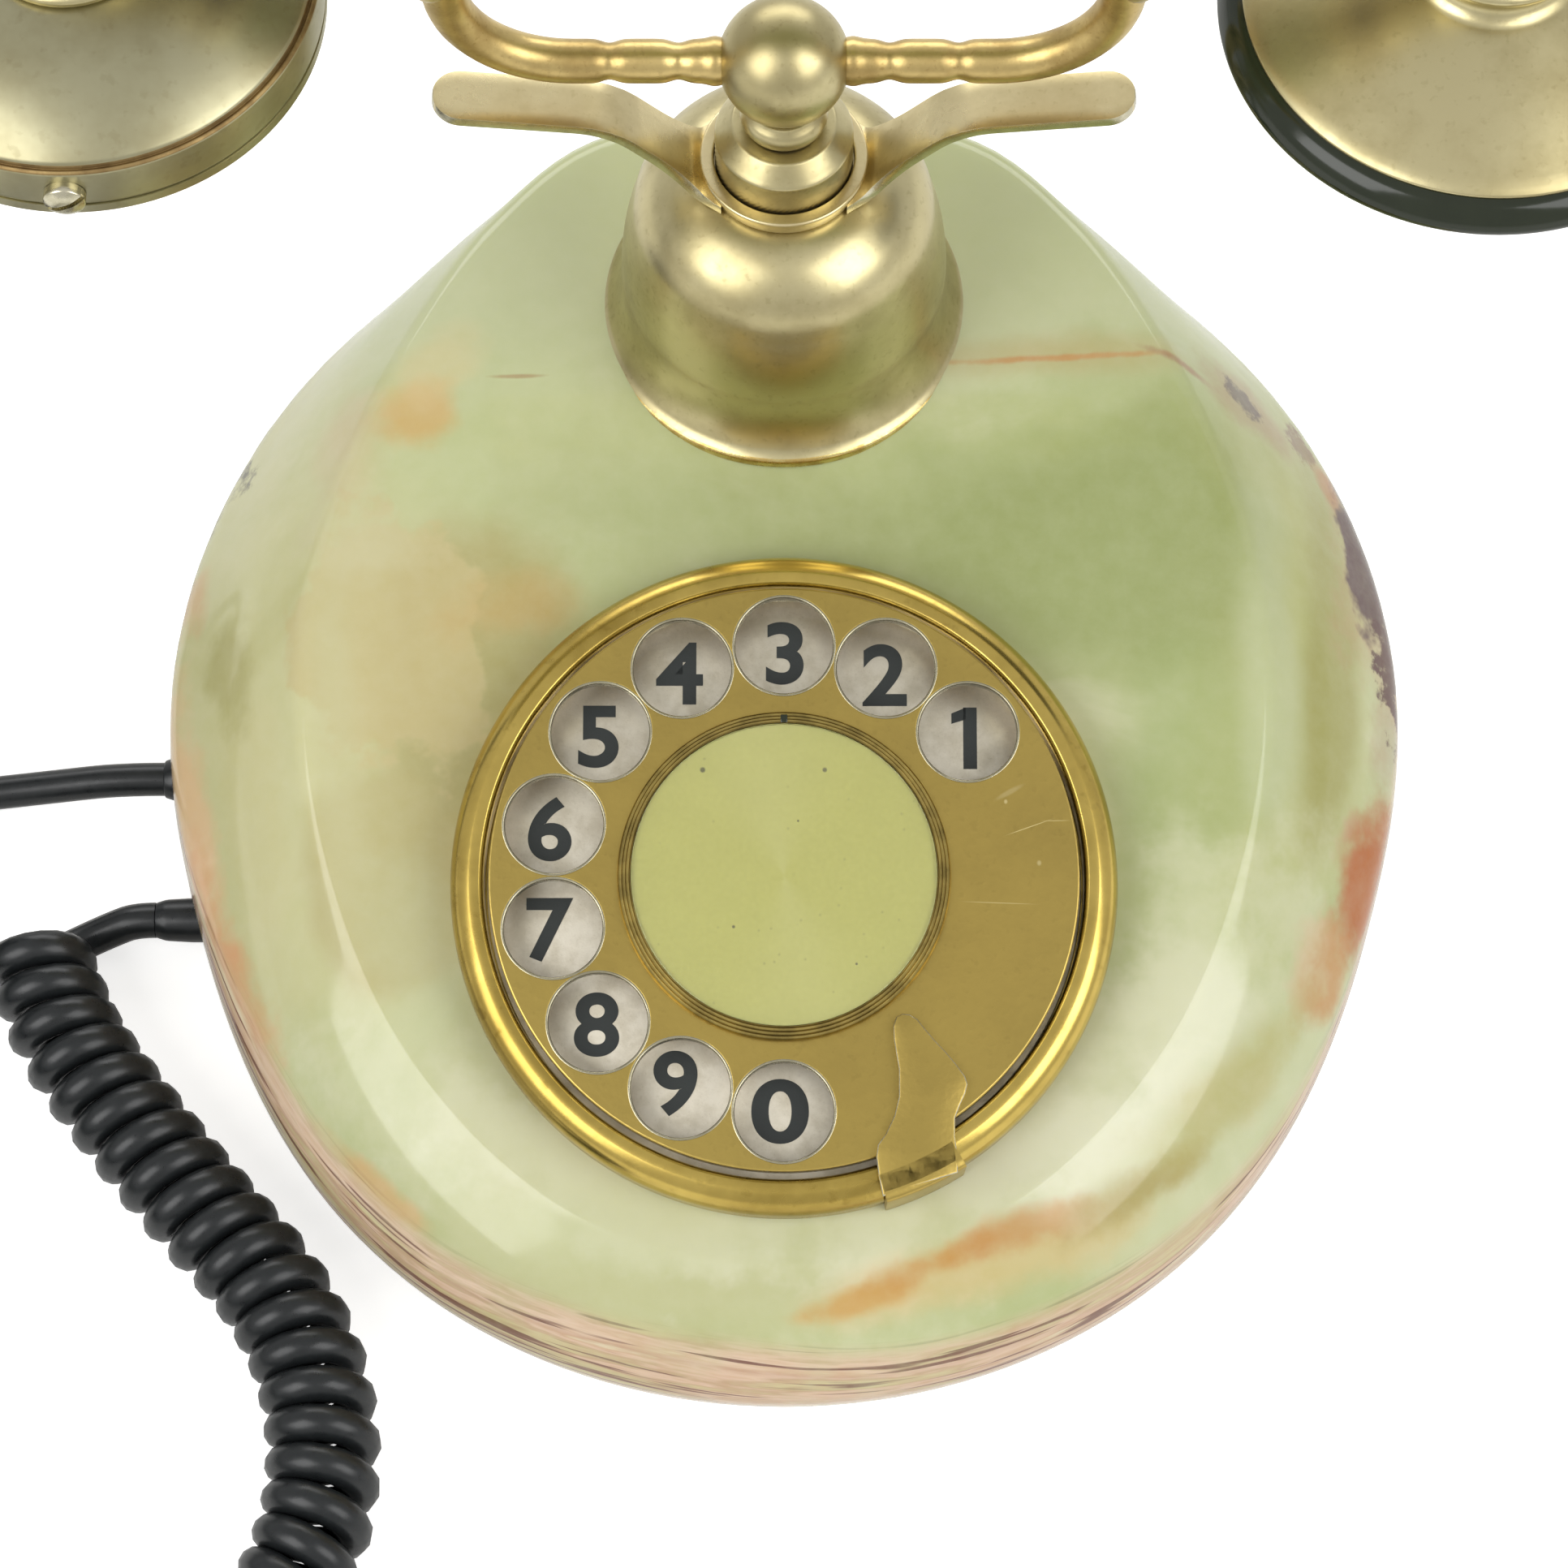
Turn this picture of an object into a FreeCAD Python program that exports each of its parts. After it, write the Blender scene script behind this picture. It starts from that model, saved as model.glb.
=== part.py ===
import FreeCAD, Part
import os
from math import acos, atan2, cos, exp, hypot, pi, radians, sin, tan

Vec = FreeCAD.Vector

# All lengths are in millimetres and all angles in degrees.
# +X is to the right, +Y is away from the user, +Z is up, and the origin is
# the centre of the underside.

# Stone body
body_r = 85.2
foot_inset = 7.7
foot_r = body_r - foot_inset
foot_tuck = 2.6
bulge_z = 12.0
wall_front_z = 15.5
wall_side_z = 25.5
wall_rear_z = 39.5
hand_flat = 4.4
flat_angle = 107.0
rear_swell = 1.1
swell_angle = 50.0
shoulder_swell = 1.5
shoulder_split = (0.2, 0.6)
ridge_round = 3.0
stone_wall = 8.0
rim_wall = 3.0
foot_wall = 6.5
cavity_inset = 29.2
cavity_r = body_r - cavity_inset
lower_cavity_r = foot_r - foot_wall
lower_cavity_z = 17.0

# The flat face that carries the dial, and the level hill behind it
face_tilt = 15.0
dial_y = -24.5
dial_z = 40.0
hill_z = 56.5
hill_blend_r = 60.0
seat_drop = 1.7
# How far the ridge round the face stands inside the widest wall, by angle from the back
ridge_inset = ((0, -0.4), (18, 0.2), (30, 6.8), (45, 14.8), (60, 19.6),
               (85, 21.5), (110, 21.5), (135, 18.2), (160, 14.4), (180, 13.7))
# The blank runs on past the ridge and is cut off by the face
blank_run_on = 12.0
blank_rise = 26.0

# Underside
pad_thick = 1.5
pad_inset = 3.0
plate_thick = 2.0
plate_gap = 0.3
lug_r = 7.0
lug_inset = 8.5
lug_place_r = foot_r - rim_wall - lug_inset
lug_angles = (45, 135, 225, 315)
screw_r = 2.0
screw_head_r = 3.8
screw_length = 11.0
thread_gap = 0.05

# Dial, in its own frame: its centre is on the stone face and height is outwards
bezel_r = 42.9
bezel_wide = 4.4
bezel_in_r = bezel_r - bezel_wide
bezel_h = 7.8
bezel_flange = 2.2
flange_wide = 5.5
flange_in_r = bezel_in_r - flange_wide
bore_step = 2.0
dial_bore_r = bezel_in_r - bore_step
frame_thick = 1.6
frame_gap = 0.5
plate_disc_thick = 0.8
plate_disc_hole_r = 8.0
wheel_gap = 0.7
wheel_r = bezel_in_r - wheel_gap
wheel_top = 9.5
wheel_thick = 1.2
wheel_rim_drop = 2.6
hole_inset = 7.6
hole_ring_r = wheel_r - hole_inset
finger_hole_r = 6.3
finger_count = 10
finger_pitch = 360.0 / 14
third_hole_angle = 90.0
hub_ring_r = 21.3
card_r = 19.6
hub_ring_h = 2.1
hub_groove = 0.25
card_thick = 0.3
cover_thick = 0.9
stop_gap = 0.7
stop_thick = 0.9
stop_drawn_r = 42.9
dial_sweep = 325.0

# Dial works
shaft_r = 3.0
pivot_r = 1.4
run_gap = 0.05
bush_r = 5.5
bush_drop = 3.6
gear_module = 0.8
main_teeth = 40
pinion_teeth = 10
wheel_teeth = 30
governor_teeth = 10
gear_thick = 1.4
mesh_gap = 0.25
main_gear_z = -9.2
second_gear_z = -12.0
second_angle = 200.0
governor_angle = 100.0
arbor_r = 1.1
bridge_z = -22.8
bridge_thick = 1.6
cup_r = 9.0
cup_wall = 0.8
cup_high = -14.4
cam_r = 9.5
cam_low = -16.6
cam_thick = 1.4
clamp_reach = 4.0
clamp_angles = (15, 90, 165)
pillar_r = 2.2
pillar_angles = (40, 290, 110)
pillar_place_r = 27.5

# Neck
neck_y = 54.6
bell_r = 24.8
bell_mid_r = 20.9
bell_top_r = 9.6
bell_h = 33.6
bell_wall = 1.5
neck_tube_r = 6.0
neck_gap = 0.25
rod_r = 3.5
nut_r = 9.2
nut_h = 4.5
neck_pocket_r = 17.0
bracket_thick = 1.2
wing_thick = 1.5
wing_width = 7.2
wing_ring_r = 10.1
wing_in_x = 10.5
wing_bend_x = 22.0
wing_bend_rise = 12.6
wing_tip_x = 44.0
wing_tip_rise = 15.2
collar_r = 8.8
collar_h = 7.2
collar_bevel = 1.9

# Cradle
hook_travel = 4.5
ball_r = 8.2
ball_z = 112.0
bead_r = 5.6
bead_gap = 0.4
arm_r = 2.75
arm_x = 41.0
arm_bend_r = 15.0
crimp_x = (13.0, 21.5)
crimp_depth = 0.35
yoke_wire_r = 2.3
yoke_tip_rise = 7.0
yoke_gap = 0.3

# Handset
handle_z = 153.0
handle_mid_r = 13.4
handle_end_r = 10.4
handle_half = 56.0
ferrule_w = 5.0
ferrule_step = 0.7
elbow_r = 8.4
elbow_bend_r = 15.0
cup_x = 84.5
cup_skin = 1.5
mouth_band_r = 29.2
mouth_band_low = 124.4
mouth_band_h = 6.6
mouth_top_z = 140.6
neck_r = 9.2
mouth_cap_low = 122.4
mouth_cap_flange = 1.9
ear_r = 32.0
ear_low = 121.4
ear_top = 126.0
cone_r = 29.4
cone_top_r = 10.6
cone_top_z = 134.2
ear_neck_top = 139.2
sound_hole_r = 1.3
capsule_r = 20.0
seat_gap = 0.3
gland_r = 3.9
gland_x = -118.6
gland_low = 112.5
gland_high = 131.0
gland_stub_z = 127.8
gland_stub_r = 3.0

# Ringer
gong_r = 18.0
gong_x = 22.4
gong_y = 38.0
gong_low = 8.0
gong_h = 8.0
gong_wall = 1.2
post_r = 2.4
clapper_r = 3.0
clapper_pivot_y = 18.2
clapper_z = 12.0
clapper_swing = 3.0
works_gap = 7.0
board_long = 20.0
board_wide = 28.0
speech_coil_long = 18.0

# Cords
line_d = 4.66
cord_exit_z = 4.6
line_exit_y = 8.6
lead_exit_y = -13.0
grommet_r = 3.1
grommet_stand = 1.2
grommet_out_x = -body_r - grommet_stand
line_route = ((-86.4, 8.6, 4.6), (-92.6, 8.6, 4.6), (-101.6, 8.1, 3.4), (-113.0, 7.2, 2.38),
              (-128.0, 5.4, 2.38), (-144.0, 3.9, 2.38))
coil_centre = (-178.0, 35.6)
coil_outer_r = 32.0
coil_layers = 4
coil_loops = 10.5
coil_step = 5.2
coil_climb = 5.2
tail_route = ((-158.6, 67.6, 16.2), (-147.4, 60.8, 11.4), (-140.6, 49.6, 6.4), (-138.4, 38.6, 3.4),
              (-138.0, 32.0, 3.4))
plug_long = 21.0
plug_wide = 9.6
plug_high = 6.6
lead_d = 4.2
lead_route = ((-86.4, -13.0, 4.6), (-89.2, -13.0, 4.6), (-92.4, -13.8, 3.5))
curl_wire_d = 4.0
curl_r = 5.3
curl_pitch = 5.35
curl_pitch_held = 6.6
curl_route = ((-102.3, -18.5, 7.35), (-98.9, -28.6, 7.35), (-92.4, -38.6, 7.35), (-77.6, -56.6, 7.35),
              (-65.6, -69.5, 7.35), (-59.7, -84.5, 7.35), (-59.8, -101.2, 7.35), (-67.5, -117.2, 7.35),
              (-81.4, -128.0, 7.35), (-98.8, -132.0, 7.35), (-116.0, -128.0, 7.35),
              (-129.9, -117.0, 7.35), (-137.5, -100.9, 7.35), (-137.9, -81.0, 7.35),
              (-138.6, -60.5, 7.4), (-138.4, -40.0, 9.0), (-137.4, -19.5, 14.5),
              (-135.0, 0.0, 22.5), (-132.0, 17.0, 34.0), (-128.6, 31.5, 49.0),
              (-125.9, 42.0, 66.0), (-124.9, 50.6, 84.0), (-124.9, 50.6, 102.6))


def disc(radius, low, high, x=0.0, y=0.0):
    return Part.makeCylinder(radius, high - low, Vec(x, y, low))


def hollow_disc(outer, inner, low, high, x=0.0, y=0.0):
    return disc(outer, low, high, x, y).cut(disc(inner, low, high, x, y))


def block(x0, x1, y0, y1, z0, z1):
    return Part.makeBox(x1 - x0, y1 - y0, z1 - z0, Vec(x0, y0, z0))


def around(angle, radius):
    return radius * cos(radians(angle)), radius * sin(radians(angle))


# Closed wire through points. A pair of points is an arc through the first to the second.
def outline(points, lift):
    edges = []
    here = lift(points[0])
    for item in list(points[1:]) + [points[0]]:
        if isinstance(item[0], tuple):
            end = lift(item[1])
            edges.append(Part.Arc(here, lift(item[0]), end).toShape())
        else:
            end = lift(item)
            if (end - here).Length > 1e-6:
                edges.append(Part.LineSegment(here, end).toShape())
        here = end
    return Part.Wire(edges)


# Turned piece from an outline of (radius, height) points
def lathe(points, x=0.0, y=0.0):
    wire = outline(points, lambda p: Vec(p[0], 0, p[1]))
    piece = Part.Face(wire).revolve(Vec(0, 0, 0), Vec(0, 0, 1), 360)
    piece.translate(Vec(x, y, 0))
    return piece


# Flat piece from an outline of (x, y) points
def flat(points, low, high):
    wire = outline(points, lambda p: Vec(p[0], p[1], low))
    return Part.Face(wire).extrude(Vec(0, 0, high - low))


# Shape made in the dial's frame, moved to its place on the stone
def on_face(piece):
    placed = piece.copy()
    placed.rotate(Vec(0, 0, 0), Vec(1, 0, 0), face_tilt)
    placed.translate(Vec(0, dial_y, dial_z))
    return placed


# Smooth value at an angle between stations of (angle, value), level at both ends
def between(stations, angle):
    last = len(stations) - 1
    i = 0
    while i < last - 1 and angle > stations[i + 1][0]:
        i += 1

    def slope(k):
        if k == 0 or k == last:
            return 0.0
        (a0, v0), (a1, v1) = stations[k - 1], stations[k + 1]
        return (v1 - v0) / (a1 - a0)
    (a0, v0), (a1, v1) = stations[i], stations[i + 1]
    span = a1 - a0
    t = (angle - a0) / span
    rise = t * t * (3 - 2 * t)
    return (v0 + (v1 - v0) * rise + slope(i) * span * t * (1 - t) ** 2
            - slope(i + 1) * span * t * t * (1 - t))


# Height of the face and the hill at a distance to the back
def top_height(y):
    return min(dial_z + tan(radians(face_tilt)) * (y - dial_y), hill_z)


# Everything under the face and the hill, lowered by a wall
def under_top(drop):
    slope = radians(face_tilt)
    base_y = dial_y + sin(slope) * drop
    base_z = dial_z - cos(slope) * drop
    level = hill_z - drop
    corner_y = base_y + (level - base_z) / tan(slope)
    blend = hill_blend_r - drop
    run = blend * tan(slope / 2)
    reach = 2 * body_r
    front_y = -reach
    points = [(front_y, base_z + (front_y - base_y) * tan(slope)),
              (corner_y - run * cos(slope), level - run * sin(slope)),
              ((corner_y + run - blend * sin(slope / 2), level - blend * (1 - cos(slope / 2))),
               (corner_y + run, level)),
              (reach, level), (reach, -reach), (front_y, -reach)]
    wire = outline(points, lambda p: Vec(-reach, p[0], p[1]))
    return Part.Face(wire).extrude(Vec(2 * reach, 0, 0))


# Radius and height of the stone's side at one angle from the back, from foot to past the ridge
def ridge_radius(angle):
    return body_r - between(ridge_inset, angle)


def side_profile(angle):
    turn = cos(radians(angle))
    flat_spread = 22.0 if angle < flat_angle else 30.0
    widest = (body_r - hand_flat * exp(-((angle - flat_angle) / flat_spread) ** 2)
              + rear_swell * exp(-((angle - swell_angle) / 20.0) ** 2))
    mean_z = wall_side_z
    wall_z = (mean_z + (wall_rear_z - wall_front_z) / 2 * turn
              + ((wall_rear_z + wall_front_z) / 2 - mean_z) * turn ** 2)
    ridge_r = ridge_radius(angle)
    ridge_z = top_height(ridge_r * turn) + 0.3
    wall_r = widest - 0.3
    out_r = ridge_z - wall_z
    out_z = wall_r - ridge_r
    length = hypot(out_r, out_z)
    points = [(foot_r, pad_thick), (widest - foot_tuck, pad_thick + 3.5), (widest, bulge_z),
              (wall_r, wall_z)]
    for t in shoulder_split:
        swell = 4 * t * (1 - t) * shoulder_swell
        points.append((wall_r + (ridge_r - wall_r) * t + swell * out_r / length,
                       wall_z + (ridge_z - wall_z) * t + swell * out_z / length))
    points.append((ridge_r, ridge_z))
    points.append((ridge_r - out_z / length * blank_run_on, ridge_z + out_r / length * blank_run_on))
    top_share = 0.42 + 0.5 * max(0.0, 1 - angle / 60.0) ** 2
    points.append((ridge_r * top_share, hill_z + blank_rise))
    return points


def make_body_shell():
    step = 10
    profiles = [side_profile(a if a <= 180 else 360 - a) for a in range(0, 360, step)]
    rings = []
    for k in range(len(profiles[0])):
        points = []
        for i, profile in enumerate(profiles):
            r, z = profile[k]
            points.append(Vec(r * sin(radians(i * step)), r * cos(radians(i * step)), z))
        curve = Part.BSplineCurve()
        curve.interpolate(Points=points, PeriodicFlag=True)
        rings.append(Part.Wire([curve.toShape()]))
    stone = Part.makeLoft(rings, True, False).common(under_top(0.0))
    ridge = [e for e in stone.Edges if on_ridge(e)]
    stone = stone.makeFillet(ridge_round, ridge)

    bottom = pad_thick + plate_thick
    lower = disc(lower_cavity_r, bottom, lower_cavity_z)
    for angle in lug_angles:
        lug = disc(lug_r, bottom, lower_cavity_z, *around(angle, lug_place_r))
        lower = lower.cut(lug)
    upper = disc(cavity_r, bottom, hill_z).common(under_top(stone_wall))
    works = on_face(disc(bezel_r - 1.4, -stone_wall - 14, -stone_wall)).common(
        block(-body_r, body_r, -body_r, body_r, bottom, hill_z))
    neck = disc(neck_pocket_r, bottom, hill_z - stone_wall, 0, neck_y)
    stone = stone.cut(lower).cut(upper).cut(works).cut(neck)
    stone = stone.cut(disc(plate_r() + plate_gap, pad_thick, bottom))
    stone = stone.cut(on_face(disc(dial_bore_r, -stone_wall - 8, 8)))
    stone = stone.cut(disc(neck_tube_r + neck_gap, bottom, hill_z + 2, 0, neck_y))
    stone = stone.cut(disc(bell_r + neck_gap, hill_z - seat_drop, hill_z + 4, 0, neck_y))
    for angle in lug_angles:
        x, y = around(angle, lug_place_r)
        stone = stone.cut(disc(screw_r + thread_gap, bottom, pad_thick + screw_length + 1, x, y))
    for y in (line_exit_y, lead_exit_y):
        stone = stone.cut(exit_hole(y))
    return stone


# Hole through the left wall for a cord
def exit_hole(y):
    inner = -lower_cavity_r + 1.0
    hole = Part.makeCylinder(grommet_r, body_r + 4 + inner, Vec(-body_r - 4, y, cord_exit_z), Vec(1, 0, 0))
    return hole.fuse(block(-body_r - 4, inner, y - grommet_r, y + grommet_r, 0, cord_exit_z))


# An edge belongs to the ridge when it lies on the top and near the ridge line
def on_ridge(edge):
    first, last = edge.ParameterRange
    p = edge.valueAt((first + last) / 2)
    if abs(p.z - top_height(p.y)) > 1.5 or p.z < wall_front_z:
        return False
    away = hypot(p.x, p.y)
    angle = acos(max(-1.0, min(1.0, p.y / away))) * 180 / pi
    return abs(away - ridge_radius(angle)) < 4.0


def plate_r():
    return foot_r - rim_wall


def make_base_plate():
    plate = disc(plate_r(), pad_thick, pad_thick + plate_thick)
    for angle in lug_angles:
        x, y = around(angle, lug_place_r)
        plate = plate.cut(disc(screw_r + neck_gap, 0, 10, x, y))
        plate = plate.cut(Part.makeCone(screw_head_r + run_gap, screw_r + run_gap,
                                        screw_head_r - screw_r, Vec(x, y, pad_thick)))
    return plate


def make_base_screws():
    screws = []
    for angle in lug_angles:
        x, y = around(angle, lug_place_r)
        head = Part.makeCone(screw_head_r, screw_r, screw_head_r - screw_r, Vec(x, y, pad_thick))
        screw = head.fuse(disc(screw_r, pad_thick, pad_thick + screw_length, x, y))
        slot = block(x - screw_head_r, x + screw_head_r, y - 0.4, y + 0.4, pad_thick, pad_thick + 0.6)
        screws.append(screw.cut(slot))
    return Part.makeCompound(screws)


def make_felt_pad():
    return disc(foot_r - pad_inset + 1.0, 0.0, pad_thick)


def make_grommet(y, bore_r):
    inner = -lower_cavity_r - 0.5
    skin_r = grommet_r - run_gap
    points = [(0.0, inner), (skin_r, inner), (skin_r, -body_r + 1.0),
              (bore_r + 0.4, grommet_out_x), (0.0, grommet_out_x)]
    wire = outline(points, lambda p: Vec(p[1], y + p[0], cord_exit_z))
    sleeve = Part.Face(wire).revolve(Vec(0, y, cord_exit_z), Vec(1, 0, 0), 360)
    return sleeve.cut(disc(plate_r() + plate_gap, 0, pad_thick + plate_thick + run_gap))


def make_dial_bezel():
    crest = (bezel_in_r + bezel_r) / 2 - 0.4
    points = [(flange_in_r, 0), (bezel_r, 0), (bezel_r, bezel_h * 0.46),
              ((bezel_r - 0.75, bezel_h * 0.85), (crest, bezel_h)),
              (bezel_in_r + 0.5, bezel_h), (bezel_in_r, bezel_h - 0.6),
              (bezel_in_r, bezel_flange), (flange_in_r, bezel_flange)]
    bezel = lathe(points)
    for x, y in dial_screw_places():
        bezel = bezel.cut(disc(1.0 + run_gap, -1, bezel_flange - 0.4, x, y))
    return bezel


def dial_screw_places():
    return [around(angle, (flange_in_r + dial_bore_r) / 2) for angle in (60, 180, 300)]


def make_number_plate():
    return hollow_disc(bezel_in_r - 0.1, plate_disc_hole_r, bezel_flange,
                       bezel_flange + plate_disc_thick)


def finger_angle(k):
    return third_hole_angle + (k - 2) * finger_pitch


def make_finger_wheel():
    low = wheel_top - wheel_thick
    points = [(pivot_r + run_gap, low), (wheel_r - wheel_thick, low),
              (wheel_r - wheel_thick, wheel_top - wheel_rim_drop), (wheel_r, wheel_top - wheel_rim_drop),
              (wheel_r, wheel_top - 0.7),
              ((wheel_r - 0.2, wheel_top - 0.2), (wheel_r - 0.7, wheel_top)),
              (pivot_r + run_gap, wheel_top)]
    wheel = lathe(points)
    for k in range(finger_count):
        x, y = around(finger_angle(k), hole_ring_r)
        hole = disc(finger_hole_r, 0, 20, x, y)
        flare = Part.makeCone(finger_hole_r, finger_hole_r + 0.35, 0.35, Vec(x, y, wheel_top - 0.35))
        wheel = wheel.cut(hole).cut(flare)
    return wheel


def make_hub_ring():
    top = wheel_top + hub_ring_h
    ledge = top - cover_thick - card_thick
    width = hub_ring_r - card_r
    points = [(card_r - 2.2, wheel_top), (hub_ring_r, wheel_top), (hub_ring_r, top - 1.3)]
    for k in range(3):
        outer = hub_ring_r - width * (0.12 + 0.28 * k)
        inner = hub_ring_r - width * (0.30 + 0.28 * k)
        z = top - 0.9 + 0.3 * k
        points += [(outer, z), (outer - 0.02, z - hub_groove), (inner, z - hub_groove), (inner - 0.02, z)]
    points += [(card_r, top), (card_r, ledge), (card_r - 2.2, ledge)]
    ring = lathe(points)
    notch = block(-0.5, 0.5, card_r - 0.2, card_r + 0.9, top - 0.8, top + 1)
    return ring.cut(notch)


def card_low():
    return wheel_top + hub_ring_h - cover_thick - card_thick


def make_finger_stop():
    low = wheel_top + stop_gap
    high = low + stop_thick
    middle = -65.5
    # The outline is drawn for one bezel radius, and its outer end follows the bezel
    out_x, out_y = around(middle, bezel_r - stop_drawn_r)
    tongue = [(15.0, -17.9), ((16.6, -18.3), (17.6, -19.5)), (20.5, -22.8), (22.9, -25.9),
              ((23.3, -26.9), (22.9, -28.1)), (21.6, -31.2), (22.0 + out_x, -38.4 + out_y),
              (12.2 + out_x, -41.4 + out_y), (11.6, -36.1), ((11.7, -34.6), (12.8, -33.2)),
              ((14.6, -29.4), (13.9, -21.4)), ((13.5, -18.8), (15.0, -17.9))]
    plate = flat(tongue, low, high)
    outer = bezel_r + 0.9
    foot = hollow_disc(outer, bezel_r + 0.15, 0.05, high)
    lip = hollow_disc(outer, bezel_r - 2.4, low, high)
    wedge = Part.makeCylinder(60, 40, Vec(0, 0, -5), Vec(0, 0, 1), 15.0)
    wedge.rotate(Vec(0, 0, 0), Vec(0, 0, 1), middle - 7.5)
    stop = plate.common(disc(outer, 0, 20)).fuse(foot.fuse(lip).common(wedge))
    return stop.removeSplitter()


# Spur gear blank with straight-sided teeth, a tooth centred on the phase angle
def gear(teeth, low, high, phase, bore_r):
    pitch_r = gear_module * teeth / 2
    root_r = pitch_r - 1.1 * gear_module
    tip_r = pitch_r + 0.8 * gear_module
    step = 360.0 / teeth
    points = []
    for k in range(teeth):
        middle = phase + k * step
        for share, r in ((-0.31, root_r), (-0.10, tip_r), (0.10, tip_r), (0.31, root_r)):
            points.append(around(middle + share * step, r))
    body = flat(points, low, high)
    return body.cut(disc(bore_r, low, high)) if bore_r else body


def second_place():
    away = gear_module * (main_teeth + pinion_teeth) / 2 + mesh_gap
    return around(second_angle, away)


def governor_place():
    away = gear_module * (wheel_teeth + governor_teeth) / 2 + mesh_gap
    dx, dy = around(governor_angle, away)
    x, y = second_place()
    return x + dx, y + dy


def make_dial_frame():
    r = dial_bore_r - frame_gap
    frame = disc(r, -frame_thick, 0.0).fuse(disc(bush_r, -frame_thick - bush_drop, 1.6))
    for angle in clamp_angles:
        leg = block(r - 4.0, r, -3.0, 3.0, -stone_wall - 2.2, -frame_thick)
        foot = block(r - 4.0, r + clamp_reach, -3.0, 3.0, -stone_wall - 2.2, -stone_wall - 0.1)
        clamp = leg.common(disc(r, -30, 0)).fuse(foot)
        clamp.rotate(Vec(0, 0, 0), Vec(0, 0, 1), angle)
        frame = frame.fuse(clamp)
    for angle in pillar_angles:
        x, y = around(angle, pillar_place_r)
        frame = frame.fuse(disc(pillar_r, bridge_z, -frame_thick, x, y))
    frame = frame.cut(disc(shaft_r + run_gap, -40, 10))
    for x, y in dial_screw_places():
        frame = frame.cut(disc(1.0 + run_gap, -10, 10, x, y))
    for x, y in (second_place(), governor_place()):
        frame = frame.cut(disc(0.8 + run_gap, -frame_thick, -0.4, x, y))
    return frame.removeSplitter()


def make_dial_screws():
    screws = []
    for x, y in dial_screw_places():
        screw = disc(1.6, -frame_thick - 1.2, -frame_thick, x, y)
        screw = screw.fuse(disc(1.0, -frame_thick - 0.2, bezel_flange - 0.5, x, y))
        slot = block(x - 2, x + 2, y - 0.25, y + 0.25, -frame_thick - 1.2, -frame_thick - 0.8)
        screws.append(screw.cut(slot))
    return Part.makeCompound(screws)


def make_main_shaft():
    low = wheel_top - wheel_thick
    shaft = disc(shaft_r, bridge_z + run_gap, low)
    shaft = shaft.fuse(disc(bush_r + 1.5, low - 1.4, low))
    shaft = shaft.fuse(disc(pivot_r, bridge_z - bridge_thick, bridge_z + 1))
    shaft = shaft.cut(disc(pivot_r, low - 4, low))
    return shaft.removeSplitter()


def make_wheel_screw():
    head = disc(4.0, wheel_top, wheel_top + 0.8)
    screw = head.fuse(disc(pivot_r, wheel_top - wheel_thick - 3.8, wheel_top + 0.2))
    return screw.cut(block(-4.2, 4.2, -0.4, 0.4, wheel_top + 0.35, wheel_top + 1.2)).removeSplitter()


def make_main_gear():
    return gear(main_teeth, main_gear_z, main_gear_z + gear_thick, second_angle + 180.0 / main_teeth,
                shaft_r)


def make_second_gear():
    x, y = second_place()
    top = -frame_thick + 0.9
    turn = second_angle + 180
    pinion = gear(pinion_teeth, main_gear_z - 0.4, main_gear_z + gear_thick + 0.4, turn, 0)
    wheel = gear(wheel_teeth, second_gear_z, second_gear_z + gear_thick,
                 governor_angle + 180.0 / wheel_teeth, 0)
    arbor = disc(arbor_r, bridge_z + run_gap, -frame_thick - run_gap)
    pivots = disc(0.8, bridge_z - 1.2, top)
    piece = pinion.fuse(wheel).fuse(arbor).fuse(pivots).removeSplitter()
    piece.translate(Vec(x, y, 0))
    return piece


def make_governor_rotor():
    x, y = governor_place()
    pinion = gear(governor_teeth, second_gear_z - 0.4, second_gear_z + gear_thick + 0.4,
                  governor_angle + 180, 0)
    arbor = disc(arbor_r, bridge_z + cup_wall + run_gap, -frame_thick - run_gap)
    pivots = disc(0.8, bridge_z - 1.2, -frame_thick + 0.9)
    low, high = cup_high - 5.0, cup_high - 2.0
    weights = block(-6.8, 6.8, -1.6, 1.6, low, high)
    weights = weights.fuse(block(4.4, 6.8, -3.4, 3.4, low, high))
    weights = weights.fuse(block(-6.8, -4.4, -3.4, 3.4, low, high))
    piece = pinion.fuse(arbor).fuse(pivots).fuse(weights).removeSplitter()
    piece.translate(Vec(x, y, 0))
    return piece


def make_governor_cup():
    x, y = governor_place()
    low = bridge_z + run_gap
    cup = hollow_disc(cup_r, cup_r - cup_wall, low, cup_high)
    cup = cup.fuse(disc(cup_r, low, low + cup_wall)).cut(disc(arbor_r + 0.4, low - 2, low + 2))
    cup.translate(Vec(x, y, 0))
    return cup


def make_dial_bridge():
    low = bridge_z - bridge_thick
    places = [(0.0, 0.0), second_place(), governor_place()]
    places += [around(angle, pillar_place_r) for angle in pillar_angles]
    bridge = disc(5.0, low, bridge_z)
    for x, y in places[1:]:
        bridge = bridge.fuse(disc(4.0, low, bridge_z, x, y))
        bar = block(0, hypot(x, y), -2.6, 2.6, low, bridge_z)
        angle = acos(x / hypot(x, y)) * 180 / pi * (1 if y >= 0 else -1)
        bar.rotate(Vec(0, 0, 0), Vec(0, 0, 1), angle)
        bridge = bridge.fuse(bar)
    bridge = bridge.cut(disc(pivot_r + run_gap, low, bridge_z))
    for x, y in places[1:3]:
        bridge = bridge.cut(disc(0.8 + run_gap, low, bridge_z, x, y))
    return bridge.removeSplitter()


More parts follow.
